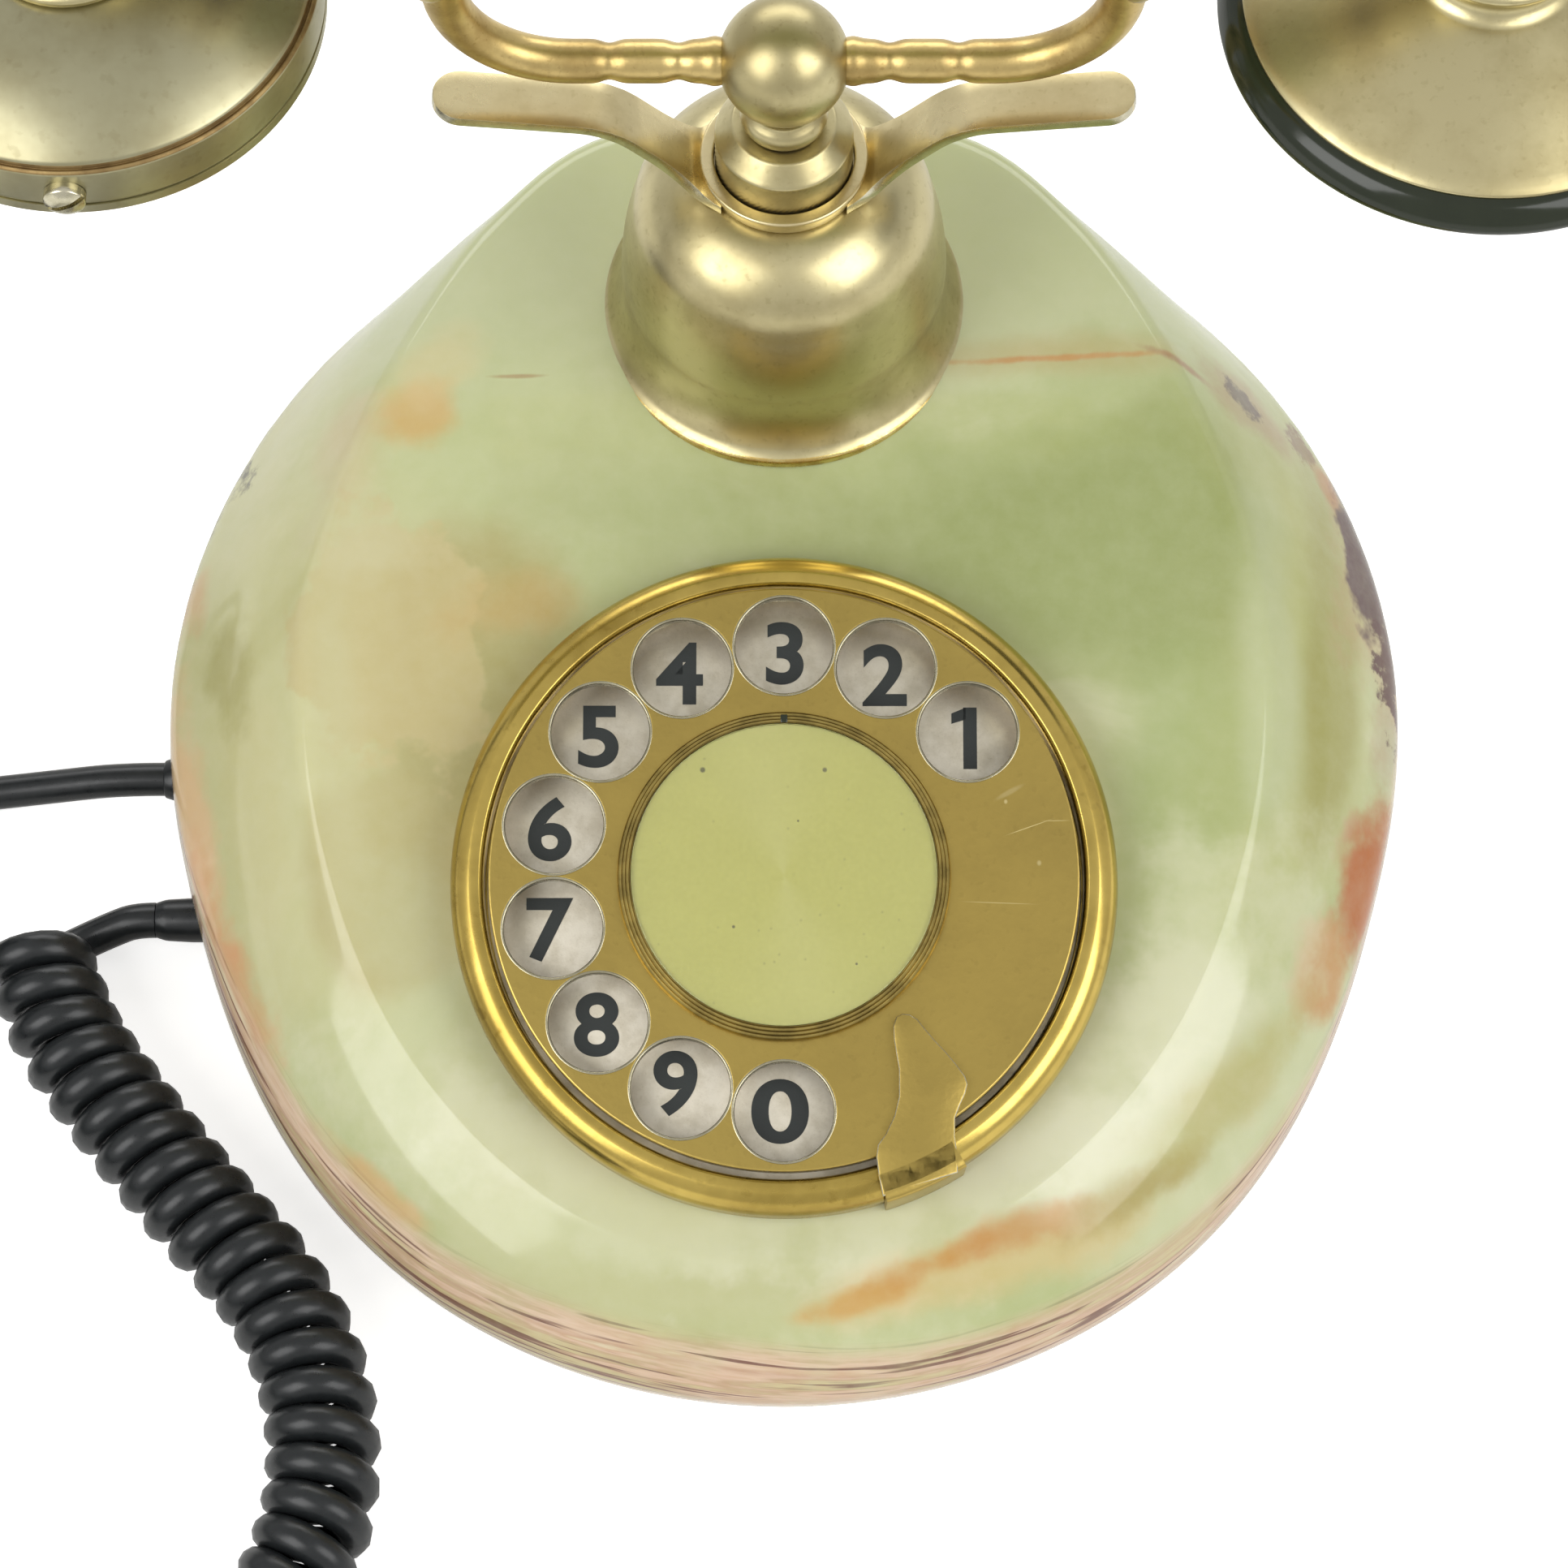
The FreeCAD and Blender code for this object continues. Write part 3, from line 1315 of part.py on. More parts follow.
def make_line_cord_coil():
    count = int(coil_loops * 4)
    edges, nodes = track(coil_place, [coil_loops * k / count for k in range(count + 1)])
    straight = Part.LineSegment(coil_entry()[0], nodes[0][0]).toShape()
    end, heading = nodes[-1]
    tail = rounded_route([tuple(end), tuple(end + heading * 6.0)] + list(tail_route), "line_cord_tail")
    wire = Part.Wire([straight] + edges + tail.OrderedEdges)
    print("line_cord_coil length %.0f" % wire.Length)
    least_gap(wire, line_d, 30)
    return swept_tube(wire, line_d, "line_cord_coil")


def tail_end():
    a, b = Vec(*tail_route[-2]), Vec(*tail_route[-1])
    return b, (b - a).normalize()


def plug_at_tail(piece):
    end, heading = tail_end()
    turn = FreeCAD.Rotation(Vec(1, 0, 0), heading)
    piece.Placement = FreeCAD.Placement(end, turn).multiply(piece.Placement)
    return piece


def make_line_plug():
    w, h = plug_wide / 2, plug_high / 2
    body = block(0, plug_long, -w, w, -h, h)
    for k in range(4):
        y = -3.0 + 2.0 * k
        body = body.cut(block(plug_long - 6.5, plug_long + 1, y - 0.35, y + 0.35, -h - 1, -h + 2.2))
    latch = block(1.5, plug_long - 1.0, -1.6, 1.6, h + 0.9, h + 1.9)
    root = block(plug_long - 3.0, plug_long - 1.0, -1.6, 1.6, h - 0.2, h + 1.9)
    return plug_at_tail(body.fuse(latch).fuse(root).removeSplitter())


def make_plug_contacts():
    h = plug_high / 2
    blades = []
    for k in range(4):
        y = -3.0 + 2.0 * k
        blades.append(block(plug_long - 6.3, plug_long - 0.3, y - 0.25, y + 0.25, -h + 0.3, -h + 2.1))
    return plug_at_tail(Part.makeCompound(blades))


# The curly cord's route as pieces that carry a frame without twist
class Route:
    def __init__(self, points):
        wire = rounded_route(points, "handset_cord_route")
        self.pieces = []
        normal = None
        total = 0.0
        for edge in wire.OrderedEdges:
            a, b = edge.FirstParameter, edge.LastParameter
            start, heading = edge.valueAt(a), edge.tangentAt(a)
            if normal is None:
                normal = Vec(0, 0, -1)
                normal = (normal - heading * normal.dot(heading)).normalize()
            if isinstance(edge.Curve, Part.Circle):
                centre = edge.Curve.Center
                axis = (start - centre).cross(heading).normalize()
                angle = edge.Length / edge.Curve.Radius
                self.pieces.append((total, edge.Length, start, heading, normal, centre, axis))
                normal = FreeCAD.Rotation(axis, angle * 180 / pi).multVec(normal)
            else:
                self.pieces.append((total, edge.Length, start, heading, normal, None, None))
            total += edge.Length
        self.length = total

    def frame(self, s):
        chosen = self.pieces[0]
        for piece in self.pieces:
            if piece[0] <= s:
                chosen = piece
        s0, length, start, heading, normal, centre, axis = chosen
        if centre is None:
            return start + heading * (s - s0), heading, normal
        turn = FreeCAD.Rotation(axis, (s - s0) / (start - centre).Length * 180 / pi)
        return centre + turn.multVec(start - centre), turn.multVec(heading), turn.multVec(normal)


# Turns wound up to a place on the route: a steady pitch on the table, opening out where it hangs
def curl_turns(s, length, hang_from):
    close = 1.0 / curl_pitch
    open_end = 1.0 / curl_pitch_held
    turns = min(s, hang_from) * close
    if s > hang_from:
        t = s - hang_from
        turns += close * t + (open_end - close) * t * t / (2 * (length - hang_from))
    return turns


# The curls' middle line: its place function, the last place on the route, and the places of half turns
def curl_track():
    route = Route(curl_route)
    hang_from = route.length * 0.6
    whole = curl_turns(route.length, route.length, hang_from)
    # The last turn ends where its heading points at the gland
    middle, heading, normal = route.frame(route.length)
    side = heading.cross(normal)
    to_gland = Vec(gland_x - middle.x, neck_y - middle.y, 0)
    bend = (to_gland.Length ** 2 - curl_r ** 2) ** 0.5
    lead_in = FreeCAD.Rotation(heading, atan2(bend, curl_r) * 180 / pi).multVec(to_gland)
    end_turn = -atan2(lead_in.dot(side), lead_in.dot(normal)) / (2 * pi)
    wanted = round(whole - end_turn) + end_turn
    scale = wanted / whole
    print("handset_cord_curls count %.2f" % wanted)

    def place(s):
        middle, heading, normal = route.frame(s)
        turn = FreeCAD.Rotation(heading, -360.0 * scale * curl_turns(s, route.length, hang_from))
        return middle + turn.multVec(normal) * curl_r
    params = [0.0]
    for k in range(1, int(wanted * 2) + 1):
        low, high = params[-1], route.length
        for _ in range(40):
            mid = (low + high) / 2
            if scale * curl_turns(mid, route.length, hang_from) < k / 2.0:
                low = mid
            else:
                high = mid
        params.append(low)
    params.append(route.length)
    return track(place, params)


def make_handset_cord_curls(edges, nodes):
    start, heading = nodes[0]
    end, last = nodes[-1]
    stub = Part.LineSegment(start - heading * curl_wire_d, start).toShape()
    wire = Part.Wire([stub] + edges + curl_tail(end, last))
    tight = min(e.Curve.Radius for e in wire.Edges if isinstance(e.Curve, Part.Circle))
    print("handset_cord_curls tightest radius %.2f" % tight, "wire length %.0f" % wire.Length)
    least_gap(wire, curl_wire_d, 16)
    return swept_tube(wire, curl_wire_d, "handset_cord_curls")


# From the last curl up into the gland
def curl_tail(end, last):
    goal = Vec(gland_x, neck_y, gland_low)
    rise = goal - Vec(0, 0, curl_wire_d)
    return biarc(end, last, rise, Vec(0, 0, 1)) + [Part.LineSegment(rise, goal).toShape()]


def make_handset_cord_lead(nodes):
    start, heading = nodes[0]
    end = start - heading * curl_wire_d
    points = list(lead_route) + [tuple(end - heading * 3.2), tuple(end)]
    wire = rounded_route(points, "handset_cord_lead")
    return swept_tube(wire, lead_d, "handset_cord_lead")


def main():
    os.makedirs("parts", exist_ok=True)
    curl_edges, curl_nodes = curl_track()
    nodes = {
        "body_shell": make_body_shell(),
        "base_plate": make_base_plate(),
        "base_screws": make_base_screws(),
        "felt_pad": make_felt_pad(),
        "cord_grommets": Part.makeCompound([make_grommet(line_exit_y, line_d / 2),
                                            make_grommet(lead_exit_y, lead_d / 2)]),
        "neck_bell": make_neck_bell(),
        "neck_tube": make_neck_tube(),
        "neck_nut": make_neck_nut(),
        "wing_plate": make_wing_plate(),
        "knurled_collar": make_knurled_collar(),
        "plunger_rod": make_plunger_rod(),
        "plunger_spring": make_plunger_spring(),
        "hook_bracket": make_hook_bracket(),
        "hook_contacts": make_hook_contacts(),
        "cradle_hub": make_cradle_hub(),
        "cradle_arms": Part.makeCompound([make_cradle_arm(-1), make_cradle_arm(1)]),
        "cradle_yokes": Part.makeCompound([make_cradle_yoke(-1), make_cradle_yoke(1)]),
        "handset_handle": make_handset_handle(),
        "handle_ferrules": make_handle_ferrules(),
        "handset_elbows": Part.makeCompound([make_elbow(-1, elbow_low()), make_elbow(1, elbow_low())]),
        "mouthpiece_cup": make_mouthpiece_cup(),
        "bayonet_screw": make_bayonet_screw(),
        "mouthpiece_cap": make_mouthpiece_cap(),
        "microphone_capsule": make_microphone_capsule(),
        "receiver_cup": make_receiver_cup(),
        "ear_cap": make_ear_cap(),
        "receiver_capsule": make_receiver_capsule(),
        "handset_gland": make_handset_gland(),
        "ringer_frame": make_ringer_frame(),
        "ringer_coils": make_ringer_coils(),
        "ringer_gongs": make_ringer_gongs(),
        "gong_posts": make_gong_posts(),
        "ringer_clapper": make_ringer_clapper(),
        "terminal_board": make_terminal_board(),
        "speech_coil": make_speech_coil(),
        "line_cord_run": make_line_cord_run(),
        "line_cord_coil": make_line_cord_coil(),
        "line_plug": make_line_plug(),
        "plug_contacts": make_plug_contacts(),
        "handset_cord_lead": make_handset_cord_lead(curl_nodes),
        "handset_cord_curls": make_handset_cord_curls(curl_edges, curl_nodes),
    }
    dial = {
        "dial_bezel": make_dial_bezel(),
        "number_plate": make_number_plate(),
        "finger_wheel": make_finger_wheel(),
        "wheel_hub_ring": make_hub_ring(),
        "centre_card": disc(card_r, card_low(), card_low() + card_thick),
        "card_cover": disc(card_r, card_low() + card_thick, card_low() + card_thick + cover_thick),
        "finger_stop": make_finger_stop(),
        "dial_frame": make_dial_frame(),
        "dial_screws": make_dial_screws(),
        "main_shaft": make_main_shaft(),
        "wheel_screw": make_wheel_screw(),
        "main_gear": make_main_gear(),
        "return_spring": make_return_spring(),
        "second_gear": make_second_gear(),
        "governor_rotor": make_governor_rotor(),
        "governor_cup": make_governor_cup(),
        "dial_bridge": make_dial_bridge(),
        "pulse_cam": make_pulse_cam(),
        "pulse_contacts": make_pulse_contacts(),
    }
    for name, piece in dial.items():
        nodes[name] = on_face(piece)
    for name, piece in nodes.items():
        piece.exportStep("parts/" + name + ".step")
        print(name, "solids", len(piece.Solids), "valid", piece.isValid(), "volume %.0f" % piece.Volume)


main()
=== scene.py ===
from math import atan2, cos, degrees, exp, hypot, pi, radians, sin, sqrt, tan

import bmesh
import bpy
from mathutils import Matrix, Quaternion, Vector
from mathutils.geometry import interpolate_bezier


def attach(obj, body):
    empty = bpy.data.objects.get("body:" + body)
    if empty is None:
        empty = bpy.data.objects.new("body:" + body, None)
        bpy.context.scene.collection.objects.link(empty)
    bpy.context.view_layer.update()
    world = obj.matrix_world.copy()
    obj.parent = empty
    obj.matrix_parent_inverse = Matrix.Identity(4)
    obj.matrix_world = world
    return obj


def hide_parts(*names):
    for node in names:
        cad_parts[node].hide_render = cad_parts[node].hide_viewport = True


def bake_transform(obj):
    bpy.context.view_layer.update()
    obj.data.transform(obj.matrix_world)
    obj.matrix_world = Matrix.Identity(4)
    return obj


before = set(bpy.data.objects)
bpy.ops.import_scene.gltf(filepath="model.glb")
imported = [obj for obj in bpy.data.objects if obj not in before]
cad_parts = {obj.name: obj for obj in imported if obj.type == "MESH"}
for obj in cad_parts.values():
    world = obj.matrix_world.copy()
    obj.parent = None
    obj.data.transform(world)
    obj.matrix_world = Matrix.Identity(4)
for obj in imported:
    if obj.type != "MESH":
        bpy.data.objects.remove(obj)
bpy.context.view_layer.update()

scene = bpy.context.scene
scene.view_settings.view_transform = "Standard"
millimetre = 0.001  # sizes below are in millimetres, the finished meshes in metres


def newObject(name, data):
    made = bpy.data.objects.new(name, data)
    scene.collection.objects.link(made)
    return made


# Camera and cords first

cameraSetup = {"place": (0.0, -0.2753, 0.5852), "tiltDeg": 26.0, "lens": 106.2, "sensor": 36.0}
camera = newObject("deskCamera", bpy.data.cameras.new("deskCamera"))
camera.data.lens = cameraSetup["lens"]
camera.data.sensor_width = cameraSetup["sensor"]
camera.location = cameraSetup["place"]
camera.rotation_euler = (radians(cameraSetup["tiltDeg"]), 0, 0)
scene.camera = camera


def metres(place):
    return tuple(c * millimetre for c in place)


def inMetres(points):
    return [metres(p) for p in points]


def curveObject(name, points, kind="NURBS", bevel=0.0, radii=None, sides=6):
    data = bpy.data.curves.new(name, "CURVE")
    data.dimensions = "3D"
    data.bevel_depth = bevel
    data.bevel_resolution = sides
    data.use_fill_caps = True
    data.resolution_u = 8
    spline = data.splines.new(kind)
    spline.points.add(len(points) - 1)
    for point, place, radius in zip(spline.points, points, radii or [1.0] * len(points)):
        point.co = (*place, 1.0)
        point.radius = radius
    if kind == "NURBS":
        spline.order_u = 3
        spline.use_endpoint_u = True
    spline.use_smooth = True
    return newObject(name, data)


def meshFrom(made):
    # The mesh of a curve or text object, with its object taken away
    bpy.context.view_layer.update()
    graph = bpy.context.evaluated_depsgraph_get()
    mesh = bpy.data.meshes.new_from_object(made.evaluated_get(graph))
    bpy.data.objects.remove(made)
    return mesh


lineCord = {
    "wide": 4.66, "length": 1.818,
    "run": [(-86.4, 8.6, 4.6), (-92.6, 8.6, 4.6), (-101.6, 8.1, 3.4), (-113.0, 7.2, 2.38),
            (-128.0, 5.4, 2.38), (-144.0, 3.9, 2.38), (-159.35, 3.12, 2.38)],
    "coilMiddle": (-178.0, 35.6), "coilRadius": 32.0, "layers": 4, "loops": 10.5, "step": 5.2,
    "pointsPerLoop": 16, "climb": 0.5, "leave": 6.0,
    "tail": [(-158.6, 67.6, 16.2), (-147.4, 60.8, 11.4), (-140.6, 49.6, 6.4), (-138.4, 38.6, 3.4),
             (-138.0, 32.0, 3.4)],
}


def coilPoint(cord, u):
    # After u loops: out and back in by turns, and one layer up each time
    perLayer = cord["loops"] / cord["layers"]
    layer = min(int(u / perLayer), cord["layers"] - 1)
    inward = u - layer * perLayer
    if layer % 2:
        inward = perLayer - inward
    # The spline runs inside its points by this share
    inside = 0.75 + 0.25 * cos(2 * pi / cord["pointsPerLoop"])
    reach = (cord["coilRadius"] - cord["step"] * inward) / inside
    z = cord["run"][-1][2]
    for k in range(1, cord["layers"]):
        t = max(0.0, min(1.0, (u - k * perLayer + cord["climb"] / 2) / cord["climb"]))
        z += cord["step"] * t * t * (3 - 2 * t)
    turn = radians(-90.0 - 360.0 * u)
    return (cord["coilMiddle"][0] + reach * cos(turn), cord["coilMiddle"][1] + reach * sin(turn), z)


def layLineCord(cord):
    count = int(cord["loops"] * cord["pointsPerLoop"])
    points = cord["run"] + [coilPoint(cord, k / cord["pointsPerLoop"]) for k in range(count + 1)]
    last, before = Vector(points[-1]), Vector(points[-2])
    points.append(tuple(last + (last - before).normalized() * cord["leave"]))
    points += cord["tail"]
    half = cord["wide"] / 2 * millimetre
    return curveObject("lineCord", inMetres(points), bevel=1.0, radii=[half] * len(points), sides=5)


lineCordPiece = layLineCord(lineCord)

handsetCord = {
    "wide": 4.9, "radius": 5.2, "lift": 0.35, "pitch": 5.35, "openPitch": 6.6, "openFrom": 0.6,
    "lead": [(-86.4, -13.0, 4.6), (-89.2, -13.0, 4.6), (-92.4, -13.8, 3.5)],
    "route": [(-102.3, -18.5, 7.35), (-98.9, -28.6, 7.35), (-92.4, -38.6, 7.35), (-77.6, -56.6, 7.35),
              (-65.6, -69.5, 7.35), (-59.7, -84.5, 7.35), (-59.8, -101.2, 7.35), (-67.5, -117.2, 7.35),
              (-81.4, -128.0, 7.35), (-98.8, -132.0, 7.35), (-116.0, -128.0, 7.35),
              (-129.9, -117.0, 7.35), (-137.5, -100.9, 7.35), (-137.9, -81.0, 7.35),
              (-138.6, -60.5, 7.4), (-138.4, -40.0, 9.0), (-137.4, -19.5, 14.5),
              (-135.0, 0.0, 22.5), (-132.0, 17.0, 34.0), (-128.6, 31.5, 49.0),
              (-125.9, 42.0, 66.0), (-124.9, 50.6, 84.0), (-124.9, 50.6, 102.6)],
    "gland": (-118.6, 54.6, 112.5), "bendOut": 4.2, "bendUp": 3.4, "pointsPerCurl": 20, "looks": 20000,
    "onTableTo": 0.62, "heldFrom": 0.72,  # shares of the route: rests on the table, then hangs
}


def routeLine(points):
    # Points along the route's own spline, read from a curve with no thickness
    made = curveObject("routeLine", inMetres(points))
    made.data.resolution_u = 12
    mesh = meshFrom(made)
    line = [v.co / millimetre for v in mesh.vertices]
    bpy.data.meshes.remove(mesh)
    return line


def alongLine(line, firstNormal):
    # Distance, place, heading and an untwisted normal at each point of a line
    rows, total, normal = [], 0.0, Vector(firstNormal)
    for k, place in enumerate(line):
        heading = (line[min(k + 1, len(line) - 1)] - line[max(k - 1, 0)]).normalized()
        if rows:
            total += (place - line[k - 1]).length
            normal = rows[-1][2].rotation_difference(heading) @ normal
        normal = (normal - heading * normal.dot(heading)).normalized()
        rows.append((total, place, heading, normal))
    return rows


def between(rows, s):
    low, high = 0, len(rows) - 1
    while high - low > 1:
        middle = (low + high) // 2
        if rows[middle][0] <= s:
            low = middle
        else:
            high = middle
    a, b = rows[low], rows[high]
    t = max(0.0, min(1.0, (s - a[0]) / max(b[0] - a[0], 1e-9)))
    return a[1].lerp(b[1], t), a[2].lerp(b[2], t).normalized(), a[3].lerp(b[3], t).normalized()


def curlTurns(cord, s, whole):
    # Curls lie close on the table and open towards the handset
    hang = whole * cord["openFrom"]
    close, opened = 1 / cord["pitch"], 1 / cord["openPitch"]
    turns = min(s, hang) * close
    if s > hang:
        turns += close * (s - hang) + (opened - close) * (s - hang) ** 2 / (2 * (whole - hang))
    return turns


def curlLine(cord):
    rows = alongLine(routeLine([(x, y, z + cord["lift"]) for x, y, z in cord["route"]]), (0, 0, -1))
    whole = rows[-1][0]
    turns = curlTurns(cord, whole, whole)
    # The last curl ends where it heads for the gland
    place, heading, normal = between(rows, whole)
    goal = Vector(cord["gland"])
    toGland = Vector((cord["gland"][0] - place.x, cord["gland"][1] - place.y, 0))
    reach = sqrt(max(toGland.length ** 2 - cord["radius"] ** 2, 0.01))
    leadIn = Quaternion(heading, atan2(reach, cord["radius"])) @ toGland
    side = heading.cross(normal)
    endTurn = -atan2(leadIn.dot(side), leadIn.dot(normal)) / (2 * pi)
    scale = (round(turns - endTurn) + endTurn) / turns
    points, shares, step, s, last = [], [], 1.0 / cord["pointsPerCurl"], 0.0, -1.0
    while s <= whole:
        turned = curlTurns(cord, s, whole) * scale
        if turned - last >= step or s == 0.0:
            place, heading, normal = between(rows, s)
            points.append(place + Quaternion(heading, -2 * pi * turned) @ normal * cord["radius"])
            shares.append(s / whole)
            last = turned
        s += whole / cord["looks"]
    # A soft bend leads from the last curl up into the gland
    start, heading = points[-1], (points[-1] - points[-2]).normalized()
    out, rise = start + heading * cord["bendOut"], goal - Vector((0, 0, cord["wide"]))
    under = rise - Vector((0, 0, cord["bendUp"]))
    for t in (k / 8 for k in range(1, 9)):
        a, b, c = start.lerp(out, t), out.lerp(under, t), under.lerp(rise, t)
        points.append(a.lerp(b, t).lerp(b.lerp(c, t), t))
    points.append(goal)
    return points, shares + [1.0] * 9


curlPoints, curlShares = curlLine(handsetCord)
curlHeading = curlPoints[1] - curlPoints[0]
curlHeading.z = 0
curlHeading.normalize()
leadEnd = curlPoints[0] - curlHeading * 4.0
leadLine = routeLine(handsetCord["lead"]
                     + [tuple(leadEnd + curlHeading * ahead) for ahead in (-3.2, 0.0, 3.6)])
curlPoints = leadLine + curlPoints
curlShares = [0.0] * len(leadLine) + curlShares


def curlPiece(name, first, last):
    chosen = [p for p, share in zip(curlPoints, curlShares) if first <= share <= last]
    made = curveObject("curlTube", inMetres(chosen), kind="POLY",
                       bevel=handsetCord["wide"] / 2 * millimetre, sides=4)
    return newObject(name, meshFrom(made)), inMetres(chosen)


tableCurls, tablePath = curlPiece("cordCurlsOnTable", 0.0, handsetCord["onTableTo"])
risingFrom = len(tablePath) - 1
risingCurls, risingPath = curlPiece("cordCurlsRising", curlShares[risingFrom], handsetCord["heldFrom"])
hangingFrom = risingFrom + len(risingPath) - 1
hangingCurls, hangingPath = curlPiece("cordCurlsHanging", curlShares[hangingFrom], 1.0)
curlPieces = [(tableCurls, tablePath), (risingCurls, risingPath), (hangingCurls, hangingPath)]

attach(lineCordPiece, "phone")
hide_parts("line_cord_run", "line_cord_coil")
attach(tableCurls, "phone")
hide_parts("handset_cord_lead", "handset_cord_curls")
print("camera and cords made")


# Shader helpers and shared effects. A node's input is a value or another node's output

def colour(r, g, b):
    # From the 0 to 255 numbers of a colour picker
    shares = (c / 255 for c in (r, g, b))
    return (*(c / 12.92 if c < 0.04 else ((c + 0.055) / 1.055) ** 2.4 for c in shares), 1.0)


def add(tree, kind, inputs=None, **settings):
    node = tree.nodes.new("ShaderNode" + kind)
    for name, value in settings.items():
        setattr(node, name, value)
    for name, value in (inputs or {}).items():
        socket = node.inputs[name]
        if isinstance(value, bpy.types.NodeSocket):
            tree.links.new(value, socket)
        else:
            socket.default_value = value
    return node


def newGroup(name, inputs, outputs):
    tree = bpy.data.node_groups.new(name, "ShaderNodeTree")
    for label, kind, value in inputs:
        socket = tree.interface.new_socket(label, in_out="INPUT", socket_type="NodeSocket" + kind)
        if value is not None:
            socket.default_value = value
    for label, kind in outputs:
        tree.interface.new_socket(label, in_out="OUTPUT", socket_type="NodeSocket" + kind)
    return tree, tree.nodes.new("NodeGroupInput").outputs, tree.nodes.new("NodeGroupOutput").inputs


def useGroup(tree, group, **inputs):
    return add(tree, "Group", inputs, node_tree=group).outputs


def mixColour(tree, factor, a, b):
    return add(tree, "Mix", {0: factor, 6: a, 7: b}, data_type="RGBA").outputs[2]


def math(tree, operation, a, b=0.0):
    return add(tree, "Math", {0: a, 1: b}, operation=operation).outputs[0]


def vector(tree, operation, a, b):
    return add(tree, "VectorMath", {0: a, "Scale" if operation == "SCALE" else 1: b},
               operation=operation).outputs[0]


def noise(tree, position, scale, detail, rough=0.5):
    return add(tree, "TexNoise",
               {"Vector": position, "Scale": scale, "Detail": detail, "Roughness": rough}).outputs[0]


def spread(tree, value, low, high, toLow=0.0, toHigh=1.0, kind="SMOOTHSTEP"):
    return add(tree, "MapRange", {"Value": value, "From Min": low, "From Max": high, "To Min": toLow,
                                  "To Max": toHigh}, interpolation_type=kind).outputs[0]


def scaled(tree, value, low, high):
    # 0 to 1 made low to high
    return spread(tree, value, 0.0, 1.0, low, high, "LINEAR")


def ramp(tree, factor, stops, interpolation="EASE"):
    node = add(tree, "ValToRGB", {"Fac": factor})
    node.color_ramp.interpolation = interpolation
    elements = node.color_ramp.elements
    while len(elements) < len(stops):
        elements.new(0.5)
    for element, (place, tint) in zip(elements, stops):
        element.position = place
        element.color = colour(*tint)
    return node.outputs["Color"]


def softPatchGroup():
    # A cloud round a middle, long or flat as its size says, its edge bent by a noise it is given
    tree, given, out = newGroup("softPatch", [
        ("Position", "Vector", None), ("Centre", "Vector", None), ("Size", "Vector", (0.01, 0.01, 0.01)),
        ("Turn", "Float", 0.0), ("Edge", "Float", 0.3), ("Bend", "Float", 0.3), ("Noise", "Float", 0.5)],
        [("Mask", "Float")])
    away = vector(tree, "SUBTRACT", given["Position"], given["Centre"])
    turned = add(tree, "VectorRotate", {"Vector": away, "Angle": given["Turn"]},
                 rotation_type="Z_AXIS").outputs[0]
    share = vector(tree, "DIVIDE", turned, given["Size"])
    length = add(tree, "VectorMath", {0: share}, operation="LENGTH").outputs[1]
    bent = math(tree, "MULTIPLY", math(tree, "SUBTRACT", given["Noise"], 0.5), given["Bend"])
    distance = math(tree, "ADD", length, math(tree, "MULTIPLY", bent, 3.0))
    near, far = math(tree, "SUBTRACT", 1.0, given["Edge"]), math(tree, "ADD", 1.0, given["Edge"])
    tree.links.new(spread(tree, distance, near, far, 1.0, 0.0), out["Mask"])
    return tree


def agedMetalGroup():
    # Brass that has dulled with handling: colour, roughness and a faint unevenness
    tree, given, out = newGroup("agedMetal", [
        ("Position", "Vector", None), ("Clean", "Color", None), ("Dull", "Color", None),
        ("Grain", "Float", 90.0), ("Amount", "Float", 0.5), ("Smooth", "Float", 0.25),
        ("Rough", "Float", 0.4)], [("Color", "Color"), ("Roughness", "Float"), ("Height", "Float")])
    broad = noise(tree, given["Position"], given["Grain"], 5.0, 0.62)
    fine = noise(tree, given["Position"], math(tree, "MULTIPLY", given["Grain"], 14.0), 3.0)
    worn = math(tree, "MULTIPLY", spread(tree, broad, 0.35, 0.68), given["Amount"])
    speck = math(tree, "MULTIPLY", spread(tree, fine, 0.58, 0.72), 0.22)
    both = math(tree, "MINIMUM", math(tree, "ADD", worn, speck), 1.0)
    tree.links.new(mixColour(tree, both, given["Clean"], given["Dull"]), out["Color"])
    tree.links.new(scaled(tree, both, given["Smooth"], given["Rough"]), out["Roughness"])
    tree.links.new(math(tree, "ADD", broad, math(tree, "MULTIPLY", fine, 0.35)), out["Height"])
    return tree


softPatch, agedMetal = softPatchGroup(), agedMetalGroup()


def newMaterial(name, uniform):
    material = bpy.data.materials.new(name)
    material.use_nodes = True
    tree = material.node_tree
    shader = tree.nodes["Principled BSDF"]
    for label, value in uniform.items():
        shader.inputs[label].default_value = value
    return material, tree, shader, add(tree, "TexCoord").outputs["Object"]


def dressed(tree, shader, tint, rough, height=None, strength=0.0, distance=0.0002):
    tree.links.new(tint, shader.inputs["Base Color"])
    tree.links.new(rough, shader.inputs["Roughness"])
    if height is not None:
        bump = add(tree, "Bump", {"Height": height, "Strength": strength, "Distance": distance})
        tree.links.new(bump.outputs[0], shader.inputs["Normal"])


def patch(tree, position, centre, size, turnDeg=0, **more):
    return useGroup(tree, softPatch, Position=position, Centre=metres(centre), Size=metres(size),
                    Turn=-radians(turnDeg), **more)["Mask"]


def tinted(tree, base, mask, share, tint):
    return mixColour(tree, math(tree, "MULTIPLY", mask, share), base, colour(*tint))


